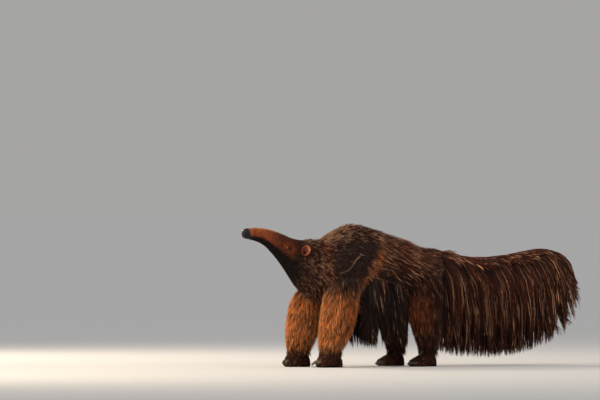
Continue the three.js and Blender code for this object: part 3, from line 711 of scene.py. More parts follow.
# From painted shade at the bottom of the cup, through the ear's reddish brown, to its pale upper rear rim
EAR_SHADE_TO_RIM = [(0.0, tone(112, 56, 42)), (0.5, tone(184, 98, 73)), (1.0, tone(226, 160, 132))]
ear_skin, tree, shader = finish("ear_skin", 0.62, 0.3)
fuzz = noise(tree, on_object(tree), 240.0, 6.0)
inner = ramp(tree, attribute(tree, "cup", "Fac"), EAR_SHADE_TO_RIM)
tree.links.new(shaded(tree, inner, ranged(tree, fuzz, 0.5, 1.3)), shader.inputs["Base Color"])
relief(tree, shader, fuzz, 0.5, 0.0015)
shader.inputs["Subsurface Weight"].default_value = 0.1
shader.inputs["Subsurface Scale"].default_value = 0.004


def ear_cup(depth, clock, grow, side):
    """Points of the cup: depth runs from -1 at its bottom to 1, and clock goes round its mouth."""
    edge = smooth(depth, -0.6, EAR_OPEN)
    size = 1 + edge * (0.09 * np.cos(clock - 1.2) ** 3 + 0.03 * np.sin(4 * clock))
    ring = np.sqrt(np.maximum(0, 1 - depth ** 2)) * size
    x = ring * np.cos(clock) * (EAR["wide"] / 2 + grow)
    y = side * EAR["deep"] * (depth - 0.3 * edge * np.sin(clock - 0.6) ** 2)
    points = list(np.broadcast_arrays(x, y, ring * np.sin(clock) * (EAR["long"] / 2 + grow)))
    lean, tip, face = EAR_TURN
    for i, j, turn in ((0, 1, side * face), (2, 0, tip), (1, 2, -side * lean)):
        first, second = points[i], points[j]
        points[i] = math.cos(turn) * first - math.sin(turn) * second
        points[j] = math.sin(turn) * first + math.cos(turn) * second
    return np.stack(points, -1) + [EAR["along"], side * EAR["across"], EAR["height"]]


for one in HANDS:
    side = one["side"]
    cup = bmesh.new()
    bmesh.ops.create_uvsphere(cup, u_segments=36, v_segments=28, radius=1)
    bmesh.ops.bisect_plane(
        cup, geom=cup.verts[:] + cup.edges[:] + cup.faces[:],
        plane_co=(0, side * EAR_OPEN, 0), plane_no=(0, side, 0), clear_outer=True)
    ball = np.array([v.co for v in cup.verts])
    for v, point in zip(cup.verts, ear_cup(side * ball[:, 1], np.arctan2(ball[:, 2], ball[:, 0]), 0, side)):
        v.co = point
    bmesh.ops.recalc_face_normals(cup, faces=cup.faces)
    bmesh.ops.solidify(cup, geom=cup.faces[:], thickness=EAR_WALL)
    bmesh.ops.recalc_face_normals(cup, faces=cup.faces)
    ear = as_object(cup, "earcup_" + one["hand"])
    spots = read_points(ear.data.vertices, "co") - [EAR["along"], 0, EAR["height"]]
    # Painted shade: the cup is darkest at its bottom, by the head, and its upper rear rim is paler
    out = smooth(np.abs(spots[:, 1]), EAR["across"] - 14, EAR["across"] + 8)
    upper_rear = smooth(0.6 * spots[:, 0] + 0.8 * spots[:, 2], 0, 26)
    shade_and_rim = ear.data.attributes.new("cup", "FLOAT", "POINT")
    shade_and_rim.data.foreach_set("value", (out * (0.45 + 0.55 * upper_rear)).astype(np.float32))
    rounding = ear.modifiers.new("rim", "SUBSURF")
    rounding.levels = rounding.render_levels = 1
    ear.data.shade_smooth()
    ear.data.materials.append(ear_skin)
    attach(ear, "root")
    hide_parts("ear_" + one["hand"])

# Claws. Curved horn blades that grow out of the toes. The great claws of the forefeet fold in under the
# knuckles as the animal walks, and the five small ones of each hind foot point forwards and down.
CLAW_FLATNESS = 0.7
CLAW_SWELLING = 0.8
CLAW_CLEARANCE = 0.4
HORN_COLOURS = [(0.0, tone(44, 36, 30)), (1.0, tone(120, 102, 82))]
horn, tree, shader = finish("horn", 0.42, 0.45)
grain = noise(tree, stretched(tree, on_object(tree), (300, 900, 900)), 1.0)
tree.links.new(ramp(tree, grain, HORN_COLOURS), shader.inputs["Base Color"])
relief(tree, shader, grain, 0.3, 0.0006)


def add_claw(bm, root, knee, tip, thick):
    """A claw on a curve, added to a bmesh in millimetres."""
    root, knee, tip = (np.array(p, float) for p in (root, knee, tip))

    def blade(t, angle):
        t = np.asarray(t, float)[:, None]
        point = root * (1 - t) ** 2 + 2 * knee * t * (1 - t) + tip * t * t
        along = (knee - root) * (1 - t) + (tip - knee) * t
        along /= np.linalg.norm(along, axis=1, keepdims=True)
        across = np.cross([0, 1, 0], along)
        across /= np.linalg.norm(across, axis=1, keepdims=True)
        radius = thick * (1 - t) * (1 + CLAW_SWELLING * t)
        up = np.cross(along, across) * CLAW_FLATNESS
        angle = np.asarray(angle, float)[:, None]
        point = point + radius * (across * np.cos(angle) + up * np.sin(angle))
        point[:, 2] = np.maximum(point[:, 2], CLAW_CLEARANCE)
        return point

    claw = tube(blade, np.linspace(0, 0.99, 12), 12)
    piece = bpy.data.meshes.new("claw")
    claw.to_mesh(piece)
    claw.free()
    bm.from_mesh(piece)
    bpy.data.meshes.remove(piece)


# The claws of a forefoot, from the inside out: place across its foot, reach and thickness
FORE_CLAWS = {"second": (-16, 44, 9), "third": (4, 58, 11), "fourth": (24, 26, 6)}
KNUCKLE = 372
HIND_TOES = 5
HIND_TOE_END = 872
HIND_TOE_PITCH = 16.5
HIND_TOE_CURVE = 3.2
HIND_CLAW_THICK = 6
for one in HANDS:
    side, hand = one["side"], one["hand"]
    fore_set, hind_set = bmesh.new(), bmesh.new()
    knuckle = KNUCKLE + one["fore_step"]
    for across, out, thick in FORE_CLAWS.values():
        y = side * (STANCE + across)
        knee = (knuckle - 20 - out * 0.55, y - side * 4, 30)
        tip = (knuckle - 14 - out * 0.5, y - side * 22, 7)
        add_claw(fore_set, (knuckle, y, 26), knee, tip, thick)
    for toe in range(HIND_TOES):
        off = toe - HIND_TOES // 2
        y = side * (STANCE + off * HIND_TOE_PITCH)
        end = HIND_TOE_END + one["hind_step"] + off * off * HIND_TOE_CURVE
        add_claw(hind_set, (end + 16, y, 18), (end - 16, y, 24), (end - 26, y, 5), HIND_CLAW_THICK)
    fore_nodes = ["claw_fore_%s_%s" % (hand, toe) for toe in FORE_CLAWS]
    hind_nodes = ["claw_hind_%s_%d" % (hand, toe + 1) for toe in range(HIND_TOES)]
    for bm, name, nodes in ((fore_set, "fore_claws_", fore_nodes), (hind_set, "hind_claws_", hind_nodes)):
        bmesh.ops.recalc_face_normals(bm, faces=bm.faces)
        claws = as_object(bm, name + hand)
        claws.data.shade_smooth()
        claws.data.materials.append(horn)
        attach(claws, "root")
        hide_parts(*nodes)

# Coat. Coarse hair in thin tapered tufts, each a small closed blade that is rooted in the skin and bends with
# the lie of the coat: a few millimetres long on the face, a hand's length on the back, and far longer on the
# tail. The tufts of each area are joined in one mesh.
draw = np.random.default_rng(5)
ROOT_DEPTH = 9.0
RISE = 0.4
# The side of each tuft's own patch in the bake map
PATCH = 0.003
TUFT_CORNERS = np.radians([90, 210, 330])
GROUND_CLEARANCE = 3.0

coat_hair, tree, shader = finish("coat", 0.55, 0.22)
strand = attribute(tree, "strand", "Vector")
fibres = noise(tree, stretched(tree, strand, (9.0, 1.6, 40.0)), 1.0, 3.0, 0.6)
colour = shaded(tree, attribute(tree, "coat"), ranged(tree, fibres, 0.55, 1.45))
tree.links.new(colour, shader.inputs["Base Color"])
relief(tree, shader, fibres, 0.5, 0.0015)


def unit(vectors):
    """Vectors of length 1."""
    return vectors / np.maximum(np.linalg.norm(vectors, axis=-1, keepdims=True), 1e-9)


def tuft_faces(steps):
    """The corners of one tuft's faces, their places in its patch, and where each face starts."""
    corners, patch, starts = [0, 1, 2], [(0, 0), (0.5, 0), (0, 0.5)], [0]
    for j in range(steps):
        for k in range(3):
            near, far = 3 * j + k, 3 * j + (k + 1) % 3
            starts.append(len(corners))
            if j < steps - 1:
                corners += [near + 3, far + 3, far, near]
                patch += [(k, j + 1), (k + 1, j + 1), (k + 1, j), (k, j)]
            else:
                corners += [3 * steps, far, near]
                patch += [(k + 0.5, steps), (k + 1, j), (k, j)]
    return np.array(corners), np.array(patch), np.array(starts)


def tuft_shades(column, places, t, where, vary, blur):
    """The colours down every tuft, from its root to its tip."""
    count = len(places)
    root, tip, pale = markings(places + draw.normal(0, blur, (count, 3)), where)
    is_pale = (draw.random(count) < pale)[:, None]
    tip = np.where(is_pale, np.maximum(tip, PALE_TIP * draw.uniform(0.55, 1.35, (count, 1))), tip)
    lively = draw.normal(1.0, vary, (count, 1)).clip(0.5, 1.7) * column.get("shade", 1)
    turn_to_tip = np.where(is_pale, smooth(t, 0.3, 0.9), smooth(t, 0.25, 0.95))[..., None]
    shades = (root[:, None] + (tip - root)[:, None] * turn_to_tip) * lively[:, None]
    return np.concatenate([np.repeat(shades[:, :-1], 3, axis=1), shades[:, -1:]], axis=1)


def lay_coat(name, skin_at, tips_at, hair, where, steps, spot, wave=0.0, ease=1.0, vary=0.2, blur=8.0):
    """One piece of coat: every tuft leaves the skin at its root and follows the coat to its tip.

    hair gives each tuft's root, its sweep and turn, its width, its lift over the outline, and how deep it is
    rooted. steps is its number of rings, and spot gives the place of its root in the bake map.
    """
    count = len(hair["place"])
    t = np.linspace(0, 1, steps + 1)
    column = {key: np.broadcast_to(np.asarray(value, float), count)[:, None] for key, value in hair.items()}
    along = column["place"] + column["sweep"] * (1 - (1 - t) ** ease) + column.get("pull", 0) * t ** 3
    angle = column["angle"] + column["turn"] * t
    low = skin_at(along, angle, -ROOT_DEPTH * column["sink"])
    high = tips_at(along, angle, (column["deep"] + column["lift"]) * t - column["deep"])
    path = low + (high - low) * smooth(t / column.get("rise", RISE))[..., None]
    outward = unit(tips_at(along, angle, 10.0) - tips_at(along, angle, 0.0))
    tangent = unit(np.gradient(path, axis=1))
    across = unit(np.cross(tangent, outward))
    up = np.cross(across, tangent)
    if wave:
        phase = draw.uniform(0, 2 * math.pi, (count, 1))
        path = path + across * (wave * np.sin(phase + 7 * t) * t)[..., None]
    path[..., 2] = np.maximum(path[..., 2], GROUND_CLEARANCE)
    full = (1 - t[:-1] ** 2.4) * (0.75 + 0.5 * t[:-1])
    half_wide = (column["wide"] / 2 * full)[..., None, None]
    half_thick = (column["wide"] / 3.2 * full)[..., None, None]
    rings = (
        path[:, :-1, None, :]
        + across[:, :-1, None, :] * np.cos(TUFT_CORNERS)[:, None] * half_wide
        + up[:, :-1, None, :] * np.sin(TUFT_CORNERS)[:, None] * half_thick
    )
    tuft_points = 3 * steps + 1
    points = np.concatenate([rings.reshape(count, -1, 3), path[:, -1:, :]], axis=1)
    corners, patch, starts = tuft_faces(steps)
    every = np.arange(count)[:, None]
    mesh = bpy.data.meshes.new(name)
    mesh.vertices.add(count * tuft_points)
    mesh.vertices.foreach_set("co", metres(points).astype(np.float32).ravel())
    mesh.loops.add(count * len(corners))
    mesh.loops.foreach_set("vertex_index", (corners + every * tuft_points).astype(np.int32).ravel())
    mesh.polygons.add(count * len(starts))
    mesh.polygons.foreach_set("loop_start", (starts + every * len(corners)).astype(np.int32).ravel())
    mesh.update(calc_edges=True)
    # The ring whose place gives the tuft its marking: near the root of long hair, and near the tip of short
    seen = 1 if where in ("flank", "tail") else 2 * steps // 3
    paint(mesh, "coat", tuft_shades(column, high[:, seen], t, where, vary, blur).reshape(-1, 3))
    lie_across = np.append(np.tile([0.0, -1.0, 1.0], steps), 0.0)
    lie_along = np.append(np.repeat(t[:-1], 3), 1.0)
    lies = np.stack(np.broadcast_arrays(lie_across, lie_along, draw.random((count, 1))), -1)
    strands = mesh.attributes.new("strand", "FLOAT_VECTOR", "POINT")
    strands.data.foreach_set("vector", lies.astype(np.float32).ravel())
    places = np.stack(spot(column["place"][:, 0], column["angle"][:, 0]), -1)
    uv = places[:, None] * (1 - PATCH) + patch * [PATCH / 3, PATCH / steps]
    mesh.uv_layers.new(name="OFBake").data.foreach_set("uv", uv.astype(np.float32).ravel())
    mesh.shade_smooth()
    mesh.materials.append(coat_hair)
    coat = placed(name, mesh)
    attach(coat, "root")
    return coat


def below(surface, depth):
    """A surface drawn in by a depth all round."""
    return lambda place, angle, grow: surface(place, angle, grow - depth)


def share_of(value, first, last):
    """How far a value lies between two others, from 0 to 1."""
    return np.clip((value - first) / (last - first), 0, 1)


def turn_share(angle):
    """An angle as a share of a full turn."""
    return np.mod(angle / (2 * math.pi), 1)


def unwrapped(first, last):
    """The place of a root on the skin when it is unrolled between two places."""
    return lambda place, angle: (share_of(place, first, last), turn_share(angle + math.pi / 2))


def clumps(places, angles, per_clump, spread_place, spread_angle):
    """Roots gathered round the middle of each clump, and where those middles are."""
    count = len(places)
    places, angles = np.repeat(places, per_clump), np.repeat(angles, per_clump)
    return {
        "middle": places,
        "middle_angle": angles,
        "place": places + spread_place * draw.uniform(-1, 1, count * per_clump),
        "angle": angles + spread_angle * draw.uniform(-1, 1, count * per_clump),
    }


def gathered(roots, sweep, turn, gather):
    """How far each tip lies from its root when the tips of a clump draw together."""
    roots["sweep"] = sweep - gather * (roots["place"] - roots["middle"])
    roots["turn"] = turn - gather * (roots["angle"] - roots["middle_angle"])
    return roots


def half_girth(place):
    """Half the trunk's width and half its height, added up."""
    top, bottom, _, half = through(BODY, place)
    return half + (top - bottom) / 2


def trunk_roots(count, first, last, per_clump, spread, finer):
    """Clumps spread over the trunk between two places, closer where it is thin when finer is more than 0."""
    grid = np.linspace(first, last, 200)
    girth = np.cumsum(half_girth(grid) ** (1 - finer))
    middles = np.interp(draw.random(count // per_clump) * girth[-1], girth, grid)
    angles = draw.uniform(-math.pi / 2, 1.5 * math.pi, len(middles))
    around = spread / half_girth(middles) * 2
    return clumps(middles, angles, per_clump, spread, np.repeat(around, per_clump))


def trunk_coat(name, style, count, first, last, per_clump, spread, steps,
               finer=0.0, wave=0.0, vary=0.2, blur=8.0):
    """A stretch of the trunk's coat. style gives length, width, fall, lift and depth at each root."""
    roots = trunk_roots(count, first, last, per_clump, spread, finer)
    place, angle = roots["place"], roots["angle"]
    top, bottom, wide, half = through(BODY, place)
    sine, cosine = np.sin(angle), np.cos(angle)
    arc = np.hypot(half * sine, np.where(sine > 0, top - wide, wide - bottom) * cosine)
    kind = style(place, angle)
    steep = kind["fall"] + kind.get("stray", 0.12) * draw.normal(0, 1, len(place))
    length = kind["length"] * draw.uniform(0.75, 1.2, len(place))
    side = np.sign(cosine) * smooth(np.abs(cosine), 0.02, 0.3)
    roots = gathered(roots, length * np.cos(steep), -side * length * np.sin(steep) / arc, kind["gather"])
    hair = {
        **roots,
        "wide": kind["wide"] * draw.uniform(0.7, 1.3, len(place)),
        "lift": kind["lift"] * draw.uniform(-0.4, 1.0, len(place)),
        "deep": kind["deep"], "sink": kind["sink"],
    }
    if "keep" in kind:
        hair = {key: np.broadcast_to(value, len(place))[kind["keep"]] for key, value in hair.items()}
    spot = unwrapped(first, last)
    lay_coat(name, trunk_skin, outline, hair, "trunk", steps, spot, wave, vary=vary, blur=blur)


def face_style(place, angle):
    """Short hair that lies flat from the nose back, clear of the eyes, the mouth and the ears."""
    at = outline(place, angle)
    eye = np.hypot((place + 4 - EYE["along"]) / 13, (at[:, 2] - EYE["height"]) / 9)
    ear = np.hypot((place + 5 - EAR["along"]) / 16, (at[:, 2] - EAR["height"]) / 22)
    mouth = (np.abs(at[:, 2] - 618) < 4) & (place < 60)
    keep = ~(((eye < 1.15) | (ear < 0.8)) & (np.abs(at[:, 1]) > 25)) & ~mouth
    keep &= place + 0.2 * (at[:, 2] - 638) > draw.uniform(30, 36, len(place))
    length = np.interp(place, [26, 120, 220, 300, 335], [7, 9, 12, 17, 24])
    return {
        "length": length, "wide": 1.1 + length / 16, "fall": 0.25 * smooth(place, 120, 260),
        "lift": 1.0 + length / 12, "deep": 1.4, "sink": 0.25, "gather": 0.3, "keep": keep,
    }


trunk_coat("coat_face", face_style, count=14000, first=30, last=335, per_clump=3, spread=3.0,
           steps=2, finer=0.8, vary=0.12, blur=2.5)

EAR_TUFTS = 900
for one in HANDS:
    side = one["side"]
    outer = lambda depth, clock, grow: ear_cup(depth / 100, clock, grow + 1.0, side)
    hair = {
        "place": draw.uniform(-75, 18, EAR_TUFTS), "angle": draw.uniform(0, 2 * math.pi, EAR_TUFTS),
        "sweep": draw.uniform(22, 56, EAR_TUFTS), "turn": draw.normal(0, 0.12, EAR_TUFTS),
        "wide": draw.uniform(1.2, 2.0, EAR_TUFTS), "lift": draw.uniform(0.5, 3.5, EAR_TUFTS),
        "deep": 0.8, "sink": 0.12,
    }
    spot = lambda depth, clock: (turn_share(clock), share_of(depth, -80, 20))
    lay_coat("coat_ear_" + one["hand"], outer, outer, hair, "ear", 2, spot, vary=0.15)


def neck_style(place, angle):
    """Longer towards the shoulder, standing on the nape and hanging in waves on the throat."""
    under, nape = smooth(-np.sin(angle), 0.1, 0.8), smooth(np.sin(angle), 0.6, 0.95)
    length = np.interp(place, [325, 400, 480], [22, 34, 42]) * (1 + 0.25 * under)
    return {
        "length": length, "wide": 3.0, "fall": 0.45 + 0.25 * under, "stray": 0.16 + 0.25 * under,
        "lift": 4 + 8 * nape + 7 * under, "deep": 5, "sink": 0.8, "gather": 0.55,
    }


trunk_coat("coat_neck", neck_style, count=9600, first=328, last=482, per_clump=6, spread=9.0,
           steps=3, wave=1.6)


def shoulder_style(place, angle):
    """Flat and short over the shoulder, standing along the withers, longer on the chest and by the fringe."""
    sine = np.sin(angle)
    under, nape = smooth(-sine, 0.1, 0.8), smooth(sine, 0.75, 0.97)
    over_fringe = bump(sine, 0.1, 0.3) * smooth(place, 600, 640)
    length = np.interp(place, [470, 560, 700], [34, 42, 66]) * (1 + 0.5 * under)
    return {
        "length": length, "wide": 3.6, "fall": 0.5 + 0.2 * under, "stray": 0.14 + 0.15 * under,
        "lift": 3 + 7 * nape + 22 * under + 12 * over_fringe, "deep": 7, "sink": 0.9, "gather": 0.5,
    }


trunk_coat("coat_shoulder", shoulder_style, count=9800, first=474, last=704, per_clump=6,
           spread=11.0, steps=3, wave=1.5)

# Where the skin creases behind the neck, a thin line of paler hair lies along the fold of each side.
# Rows give the share of the way up the fold, the place along and the height.
FOLD = [[0, 456, 442], [0.33, 508, 464], [0.62, 540, 494], [0.75, 550, 512], [1, 586, 530]]
FOLD_STRANDS = 90
FOLD_STRAND = 0.14


def along_fold(way, side):
    """The place and the angle on the trunk of a share of the way up the fold."""
    x, z = through(FOLD, way)
    angle = np.arcsin(height_share(x, z))
    return x, np.where(side > 0, angle, math.pi - angle)


fold_side = np.repeat([-1, 1], FOLD_STRANDS)
fold_way = draw.uniform(0, 1 - FOLD_STRAND, 2 * FOLD_STRANDS)
fold_root, fold_tip = along_fold(fold_way, fold_side), along_fold(fold_way + FOLD_STRAND, fold_side)
fold_hair = {
    "place": fold_root[0] + draw.normal(0, 1.6, len(fold_way)), "angle": fold_root[1],
    "sweep": fold_tip[0] - fold_root[0],
    "turn": fold_tip[1] - fold_root[1] + draw.normal(0, 0.02, len(fold_way)),
    "wide": draw.uniform(1.4, 2.3, len(fold_way)), "lift": draw.uniform(2.0, 5.0, len(fold_way)),
    "deep": 1.0, "sink": 0.5,
}


def fold_spot(place, angle):
    """The bake map of the fold: its right side below and its left side above."""
    up = (np.arcsin(np.sin(angle)) + 0.2) / 2.4
    return share_of(place, 452, 568), np.clip(0.5 * (np.cos(angle) < 0) + up, 0, 1)


lay_coat("coat_fold", trunk_skin, outline, fold_hair, "fold", 3, fold_spot)


def back_style(place, angle):
    """Long hair that lies back and down over the ribs and the rump, and hangs below the belly."""
    sine = np.sin(angle)
    under, ridge = smooth(-sine, 0.1, 0.8), smooth(sine, 0.8, 0.98)
    over_fringe = bump(sine, 0.05, 0.35) * (1 - smooth(place, 840, 900))
    length = np.interp(place, [700, 820, 1050], [76, 104, 116]) * (1 + 0.2 * under + 0.25 * over_fringe)
    return {
        "length": length, "wide": 4.6, "fall": 0.66 - 0.2 * smooth(sine, 0.3, 0.9) + 0.35 * over_fringe,
        "stray": 0.13 + 0.12 * over_fringe, "lift": 4 + 6 * ridge + 26 * under + 26 * over_fringe,
        "deep": 11, "sink": 1.0, "gather": 0.62,
    }


trunk_coat("coat_back", back_style, count=9600, first=698, last=1066, per_clump=7, spread=14.0,
           steps=3, wave=2.2)

# Crest. A line of stiff bristles stands along the middle of the back, from the withers to the root of the
# tail. They rise from the skin at a slant and lean back over each other.
CREST_TUFTS = 2400
CREST_CLUMP = 5
middles = draw.uniform(430, 1055, CREST_TUFTS // CREST_CLUMP)
roots = clumps(middles, math.pi / 2 + draw.normal(0, 0.11, len(middles)), CREST_CLUMP, 9.0, 0.05)
roots = gathered(roots, np.interp(roots["place"], [430, 600, 1000], [30, 56, 92]), 0, 0.5)
hair = {
    **roots,
    "turn": roots["turn"] + draw.normal(0, 0.05, CREST_TUFTS), "wide": draw.uniform(2.0, 3.8, CREST_TUFTS),
    "lift": draw.uniform(0, 17, CREST_TUFTS), "deep": 8.0, "sink": 1.0,
}
spot = lambda place, angle: (share_of(place, 425, 1065), share_of(angle - math.pi / 2, -0.3, 0.3))
lay_coat("coat_crest", trunk_skin, outline, hair, "trunk", 3, spot, wave=1.5)

# Flanks. On each side long hair hangs from the ribs almost to the knees, between the foreleg and the thigh,
# in pointed locks that overlap like a fringe. The trunk's own hair lies over its roots.
# Level sections: height, middle along, middle across, half length, half width
FLANK = [
    [84, 722, 150, 96, 14],
    [150, 718, 148, 104, 24],
    [250, 714, 144, 112, 32],
    [350, 712, 134, 116, 36],
    [440, 712, 116, 114, 27],
    [480, 712, 102, 108, 25],
    [530, 712, 74, 100, 22],
]
FLANK_TUFTS = 3000
FLANK_LOCK = 10
FLANK_DEPTH = 20
FLANK_ROOT = 215
FLANK_HEM = 84
for one in HANDS:
    side, step = one["side"], one["flank_step"]
    tips_at = lambda height, angle, grow: level(FLANK, height, angle, grow, side, step)
    rounds = draw.uniform(math.radians(-35), math.radians(235), FLANK_TUFTS // FLANK_LOCK)
    to_front = smooth(rounds, math.radians(110), math.radians(180))
    middles = FLANK_ROOT + draw.random(len(rounds)) * (draw.uniform(235, 300, len(rounds)) - 110 * to_front)
    roots = clumps(middles, rounds, FLANK_LOCK, 16, 0.1)
    fall = -np.repeat(draw.uniform(120, 205, len(rounds)), FLANK_LOCK) * draw.uniform(0.85, 1.1, FLANK_TUFTS)
    fall = np.maximum(fall, FLANK_HEM - roots["place"] + draw.uniform(0, 50, FLANK_TUFTS))
    forward = smooth(np.degrees(roots["angle"]), 130, 190)
    swing = np.repeat(draw.normal(-0.1, 0.08, len(rounds)), FLANK_LOCK) * (1 - forward)
    hair = {
        **gathered(roots, fall, swing, 0.75),
        "wide": draw.uniform(3.6, 6.4, FLANK_TUFTS),
        "lift": draw.uniform(-6, 7, FLANK_TUFTS) + 56 * forward * draw.random(FLANK_TUFTS),
        "deep": 12.0, "sink": 1.2,
        "shade": np.repeat(draw.uniform(0.7, 1.4, len(rounds)), FLANK_LOCK),
    }
    spot = lambda height, angle: (turn_share(angle + math.pi / 2), share_of(height, 200, 480))
    lay_coat("coat_flank_" + one["hand"], below(tips_at, FLANK_DEPTH), tips_at, hair, "flank", 4,
             spot, wave=3.0)

# Legs. Shaggy hair hangs down the legs in short tufts, tan on the forelegs and dark on the hind ones,
# and ends above the feet, which carry short flat hair that points to the toes.
LEG_COATS = [
    {"name": "foreleg", "rows": FORELEG, "step": "fore_step", "tufts": 7500, "top": 450, "length": 50,
     "slot": "tan_coat"},
    {"name": "hindleg", "rows": HINDLEG, "step": "hind_step", "tufts": 6000, "top": 455, "length": 60,
     "slot": "brown_coat"},
]
LEG_CLUMP = 5
LEG_HAIR_END = 72
FOOT_COATS = [
    {"name": "forefoot", "rows": FORE_FOOT, "step": "fore_step", "first": 358, "last": 474},
    {"name": "hindfoot", "rows": HIND_FOOT, "step": "hind_step", "first": 874, "last": 999},
]
FOOT_TUFTS = 2300
FOOT_LAP = 0.35
for one in HANDS:
    side = one["side"]
    for leg in LEG_COATS:
        step, count, top = one[leg["step"]], leg["tufts"], leg["top"]
        tips_at = lambda height, angle, grow: level(leg["rows"], height, angle, grow, side, step)
        middles = LEG_HAIR_END + (top - LEG_HAIR_END) * draw.random(count // LEG_CLUMP) ** 0.85
        roots = clumps(middles, draw.uniform(0, 2 * math.pi, len(middles)), LEG_CLUMP, 10, 0.11)
        height, angle = roots["place"], roots["angle"]
        lengths = [34, 0.8 * leg["length"], leg["length"], 1.15 * leg["length"]]
        length = np.interp(height, [70, 130, 260, top], lengths) * draw.uniform(0.75, 1.25, count)
        over_heel = 14 * np.maximum(0, np.cos(angle))
        length = np.minimum(length, height - draw.uniform(22, 64, count) + over_heel)
        back_slant = -0.3 * smooth(height, 330, 430) * np.sin(angle)
        behind = np.maximum(0, np.cos(angle)) ** 2 * (1 - smooth(height, 250, 400))
        inside = np.maximum(0, -np.sin(angle)) ** 2 * (1 - smooth(height, 200, 330))
        hair = {
            **gathered(roots, -length, draw.normal(0, 0.06, count) + back_slant, 0.6),
            "wide": draw.uniform(2.2, 4.2, count),
            "lift": draw.uniform(-5, 6, count) + (14 * behind + 9 * inside) * draw.random(count),
            "deep": 10.0, "sink": 0.9,
            "shade": np.repeat(draw.uniform(0.55, 1.55, len(middles)), LEG_CLUMP),
        }
        spot = lambda height, angle: (turn_share(angle), share_of(height, 60, 460))
        lay_coat("coat_%s_%s" % (leg["name"], one["hand"]), below(tips_at, LEG_COAT), tips_at,
                 hair, leg["name"], 2, spot, wave=1.8, vary=0.36, blur=13.0)
    for foot in FOOT_COATS:
        step, first, last = one[foot["step"]], foot["first"], foot["last"]
        tips_at = lambda along, angle, grow: upright(foot["rows"], along, angle, grow, side * STANCE, step)
        place = draw.uniform(first, last, FOOT_TUFTS) + step
        length = draw.uniform(11, 26, FOOT_TUFTS)
        angles = draw.uniform(-FOOT_LAP, math.pi + FOOT_LAP, FOOT_TUFTS)
        hair = {
            "place": place, "angle": angles,
            "sweep": -np.minimum(0.75 * length, place - step - first + 8),
            "turn": 0.25 * np.sign(angles - math.pi / 2) * draw.random(FOOT_TUFTS),
            "wide": draw.uniform(1.6, 3.2, FOOT_TUFTS), "lift": draw.uniform(0, 6, FOOT_TUFTS),
            "deep": 1.5, "sink": 0.3,
        }
        spot = lambda place, angle: (
            share_of(place - step, first, last), share_of(angle, -FOOT_LAP, math.pi + FOOT_LAP))
        lay_coat("coat_%s_%s" % (foot["name"], one["hand"]), below(tips_at, FOOT_COAT), tips_at,
                 hair, "foot", 2, spot)

# Tail. A deep curtain of hair as long as a forearm falls from both sides of a narrow core, in pointed locks
# with gaps between them near the floor, and sweeps back at the end of the tail.
TAIL_HAIR = [
    [1030, 546, 120, 420, 92],
    [1076, 556, 70, 400, 94],
    [1130, 552, 50, 390, 94],
    [1210, 532, 36, 370, 94],
    [1316, 526, 30, 360, 92],
    [1444, 534, 34, 360, 88],
    [1560, 554, 50, 370, 84],
    [1677, 566, 84, 380, 78],
    [1760, 548, 110, 380, 62],
    [1830, 498, 130, 360, 34],
    [1868, 400, 170, 320, 9],
]
tail_tips = lambda along, angle, grow: upright(TAIL_HAIR, along, angle, grow)
tail_skin = lambda along, angle, grow: upright(TAIL_CORE, along, angle, grow)
LOCK_PITCH = 60
TAIL_TUFTS = 4300
TAIL_TIP = 1880
END_START = 1590
# The kinds of lock: their share of the tufts, tufts per lock, where a lock starts and ends round the tail in
# degrees, how far it sweeps back when it starts low and high, and how far it lies off the outline
TAIL_SETS = [
    {"share": 0.47, "per": 14, "start": (-20, 84), "end": (-84, -56), "back": (44, 120), "lift": (-12, 5),
     "low": True},
    {"share": 0.15, "per": 12, "start": (20, 88), "end": (-46, 4), "back": (52, 110), "lift": (-6, 7)},
    {"share": 0.12, "per": 6, "start": (58, 92), "end": (28, 70), "back": (64, 118), "lift": (-9, 2)},
    {"share": 0.12, "per": 5, "start": (70, 96), "end": (66, 90), "back": (80, 130), "lift": (-12, 0)},
    {"share": 0.14, "per": 10, "start": (-88, -30), "end": (-88, -62), "back": (8, 36), "lift": (-14, 0),
     "rise": 1.0},
    {"share": 0.12, "per": 10, "start": (-30, 70), "end": (-84, -10), "back": (84, 130), "lift": (-32, -8),
     "at_end": True},
]


